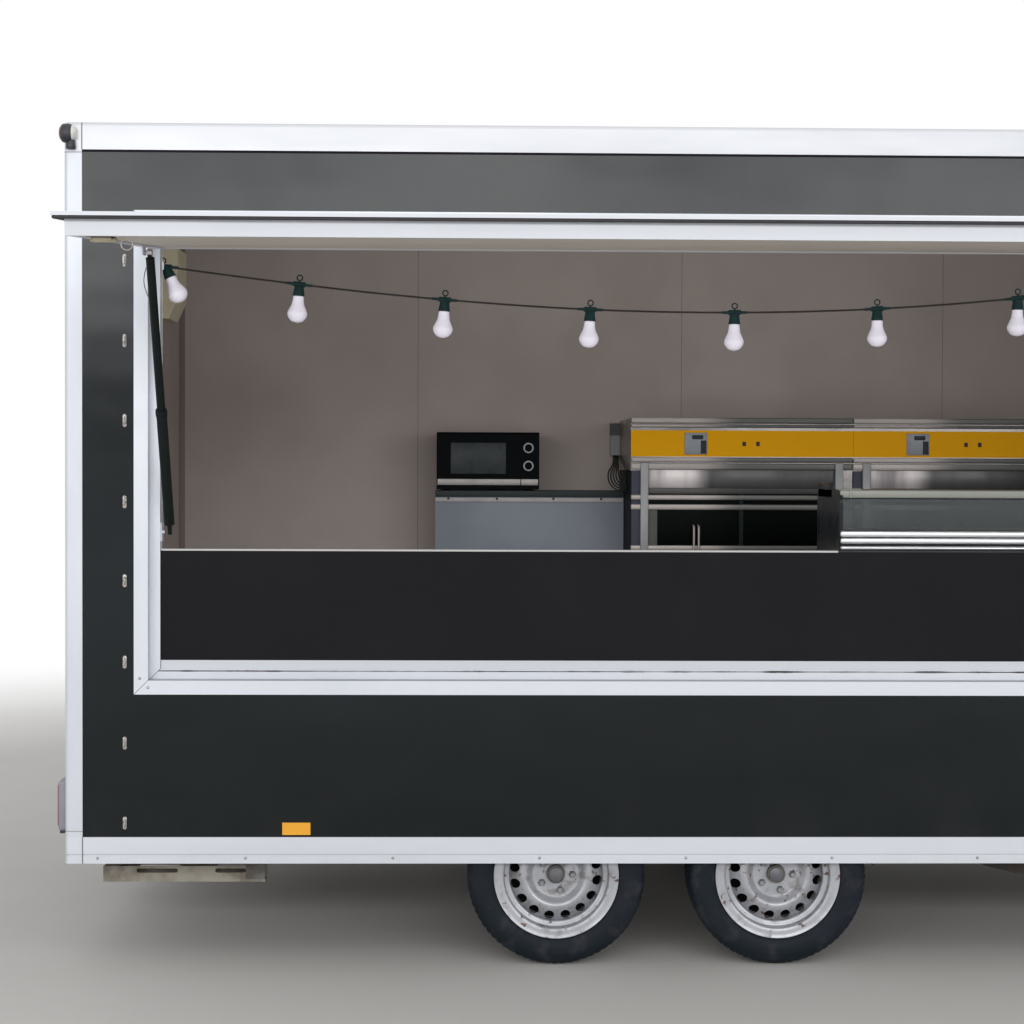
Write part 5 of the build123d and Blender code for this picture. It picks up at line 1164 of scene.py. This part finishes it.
cap_profile = ((0, 0.062), (0.018, 0.0615), (0.0235, 0.059), (0.0255, 0.054), (0.0265, 0.046),
               (0.0300, 0.044), (0.0305, 0.040), (0, 0.040))
drum_profile = ((0, 0.010), (0.118, 0.010), (0.122, 0.004), (0.1525, 0.002), (0.1525, -0.006),
                (0, -0.006))
valve_circle, valve_seat, valve_turn = 0.170, 0.040, pi / 2 + vent_phase
valve_profile = ((0, 0.030), (0.0035, 0.030), (0.004, 0.018), (0.0055, 0.016), (0.006, 0.0),
                 (0, 0.0))


def disc_height(radius):
    """How far outboard the disc lies at a radius."""
    return np.interp(radius, disc_line[::-1, 0], disc_line[::-1, 1])


def vent_patch(centre, out, turn):
    """The part of the disc round one vent: rays from the vent's edge to the borders of its
    sector, laid on the slope of the disc."""
    rays = 2 * pi * np.arange(48) / 48
    half_turn = pi / vent_count
    half_deep = (vent_zone[1] - vent_zone[0]) / 2
    middle = (vent_zone[0] + vent_zone[1]) / 2
    half_wide = half_turn * middle
    to_border = 1 / np.maximum(np.abs(np.cos(rays)) / half_deep, np.abs(np.sin(rays)) / half_wide)
    share = np.linspace(0, 1, 6)[:, None]
    reach = vent_radius + (to_border - vent_radius) * share
    radius = middle + reach * np.cos(rays)
    angle = turn + reach * np.sin(rays) / middle
    high = disc_height(radius)
    edge = np.stack([radius[0], angle[0], high[0] - disc_wall], -1)
    rows = np.concatenate([edge[None], np.stack([radius, angle, high], -1)])
    x = rows[..., 0] * np.cos(rows[..., 1])
    z = rows[..., 0] * np.sin(rows[..., 1])
    return centre + np.stack([x, out * rows[..., 2], z], -1), False, True


# The disc's slope is made of the vent patches, and the rest of it is turned.
outer_line = disc_line[disc_line[:, 0] >= vent_zone[1] - 0.0002]
outer_line = np.vstack([outer_line, (vent_zone[1], disc_height(vent_zone[1]))])
inner_line = disc_line[disc_line[:, 0] <= vent_zone[0]]
inner_line = np.vstack([(vent_zone[0], disc_height(vent_zone[0])), inner_line, (0.0315, 0.0330)])
for end, station in zip(("rear", "front"), wheel_stations):
    for side, depth, out in (("serving", wheel_depth, -1),
                             ("far", body_width - wheel_depth, 1)):
        name = f"{end}_{side}"
        centre = at(station, depth, wheel_radius)
        fitting(f"road_tyre_{name}", [tyre_shape(centre, out)], tyre_rubber,
                body=f"wheel_{name}", stands_for=(f"tyre_{name}",), crease=50)
        axle = (0, out, 0)
        wheel_shapes = [turned(line, centre, axle, wheel_facets)
                        for line in (outer_line, inner_line, rim_section, barrel)]
        for number in range(vent_count):
            turn = vent_phase + 2 * pi * number / vent_count
            wheel_shapes.append(vent_patch(centre, out, turn))
        fitting(f"steel_wheel_{name}", wheel_shapes, wheel_silver, body=f"wheel_{name}",
                stands_for=(f"rim_{name}",), crease=30)
        bolt_shapes = []
        for number in range(bolt_count):
            turn = bolt_phase + 2 * pi * number / bolt_count
            spot = centre + (bolt_circle * cos(turn), out * bolt_seat, bolt_circle * sin(turn))
            bolt_shapes.append(turned(bolt_profile, spot, axle, 6))
        valve_foot = centre + (valve_circle * cos(valve_turn), out * valve_seat,
                               valve_circle * sin(valve_turn))
        for piece, shapes, material, slot, crease in (
            ("wheel_bolts", bolt_shapes, zinc, "galvanised_steel", 20),
            ("hub_cap", [turned(cap_profile, centre, axle, 40)], hub_grey,
             "galvanised_steel", 38),
            ("brake_drum", [turned(drum_profile, centre, axle, 48)], drum_black,
             "black_steel", 38),
            ("valve", [turned(valve_profile, valve_foot, axle, 12)], seal_rubber, "rubber", 38),
        ):
            fitting(f"{piece}_{name}", shapes, material, body=f"wheel_{name}",
                    crease=crease)


# A plain pale studio: a matt floor, a broad soft lamp in front of the trailer that also shows
# in its gloss panels, a larger one overhead, and even light from all round.
def studio_lamp(name, place, target, width, height, brightness):
    """A soft lamp of this size whose face has the brightness of that many whites."""
    lamp = bpy.data.lights.new(name, "AREA")
    lamp.shape = "RECTANGLE"
    lamp.size, lamp.size_y = width, height
    lamp.energy = brightness * pi * width * height
    stand = bpy.data.objects.new(name, lamp)
    bpy.context.scene.collection.objects.link(stand)
    toward = unit(np.array(target) - np.array(place))
    turn = pi + atan2(toward[0], -toward[1])
    tilt = atan2(np.hypot(toward[0], toward[1]), -toward[2])
    stand.matrix_world = (
        Matrix.Translation(place)
        @ Matrix.Rotation(turn, 4, "Z")
        @ Matrix.Rotation(tilt, 4, "X")
    )
    stand.visible_camera = False
    return stand


front_y, front_height = serve_y - 11.5, 3.9
studio_lamp("front lamp", (middle_x, front_y, front_height), (middle_x, 0, front_height),
            22, 1.9, 6.0)
studio_lamp("top lamp", (middle_x, serve_y - 5.0, 9.0), (middle_x, serve_y, 1.2), 9, 6, 0.8)
# Daylight comes in through the hatch, from a lamp that fills its opening.
room_lamp = studio_lamp("room lamp", (middle_x, serve_y + 0.086, 1.90), (middle_x, far_y, 1.90),
                        3.94, 0.9, 1.9)
room_lamp.visible_glossy = False

# The floor thins out to nothing with distance, so that no horizon shows behind the trailer.
floor_paint = finish("studio floor", (226, 224, 221), (219, 217, 214), 0.7, patches=0.8)
fade_start, fade_end, floor_half = 5.5, 11.0, 60
tree = floor_paint.node_tree
distance = shader(tree, "VectorMath", {0: place_on(tree)}, operation="LENGTH").outputs["Value"]
faded = shader(tree, "MixShader", {
    0: ramp(tree, distance, fade_start, fade_end),
    1: tree.nodes["Principled BSDF"].outputs[0],
    2: shader(tree, "BsdfTransparent", {}).outputs[0],
})
tree.links.new(faded.outputs[0], tree.nodes["Material Output"].inputs["Surface"])
studio_floor = bpy.data.meshes.new("studio_floor")
studio_floor.from_pydata([(-floor_half, -floor_half, 0), (floor_half, -floor_half, 0),
                          (floor_half, floor_half, 0), (-floor_half, floor_half, 0)],
                         [], [(0, 1, 2, 3)])
studio_floor.materials.append(floor_paint)
floor_piece = bpy.data.objects.new("studio_floor", studio_floor)
bpy.context.scene.collection.objects.link(floor_piece)

# The surroundings look white, and light the trailer with about half of that.
even_light = 0.47
surround = bpy.data.worlds.new("surround")
surround.use_nodes = True
bpy.context.scene.world = surround
tree = surround.node_tree
seen = shader(tree, "LightPath", {})
shown = maths(tree, "MAXIMUM", seen.outputs["Is Camera Ray"],
              maths(tree, "MAXIMUM", seen.outputs["Is Glossy Ray"],
                    seen.outputs["Is Transmission Ray"]))
strength = ramp(tree, shown, 0.0, 1.0, even_light, 1.0)
backlight = tree.nodes["Background"]
backlight.inputs["Color"].default_value = (1.0, 1.0, 1.0, 1.0)
tree.links.new(strength, backlight.inputs["Strength"])
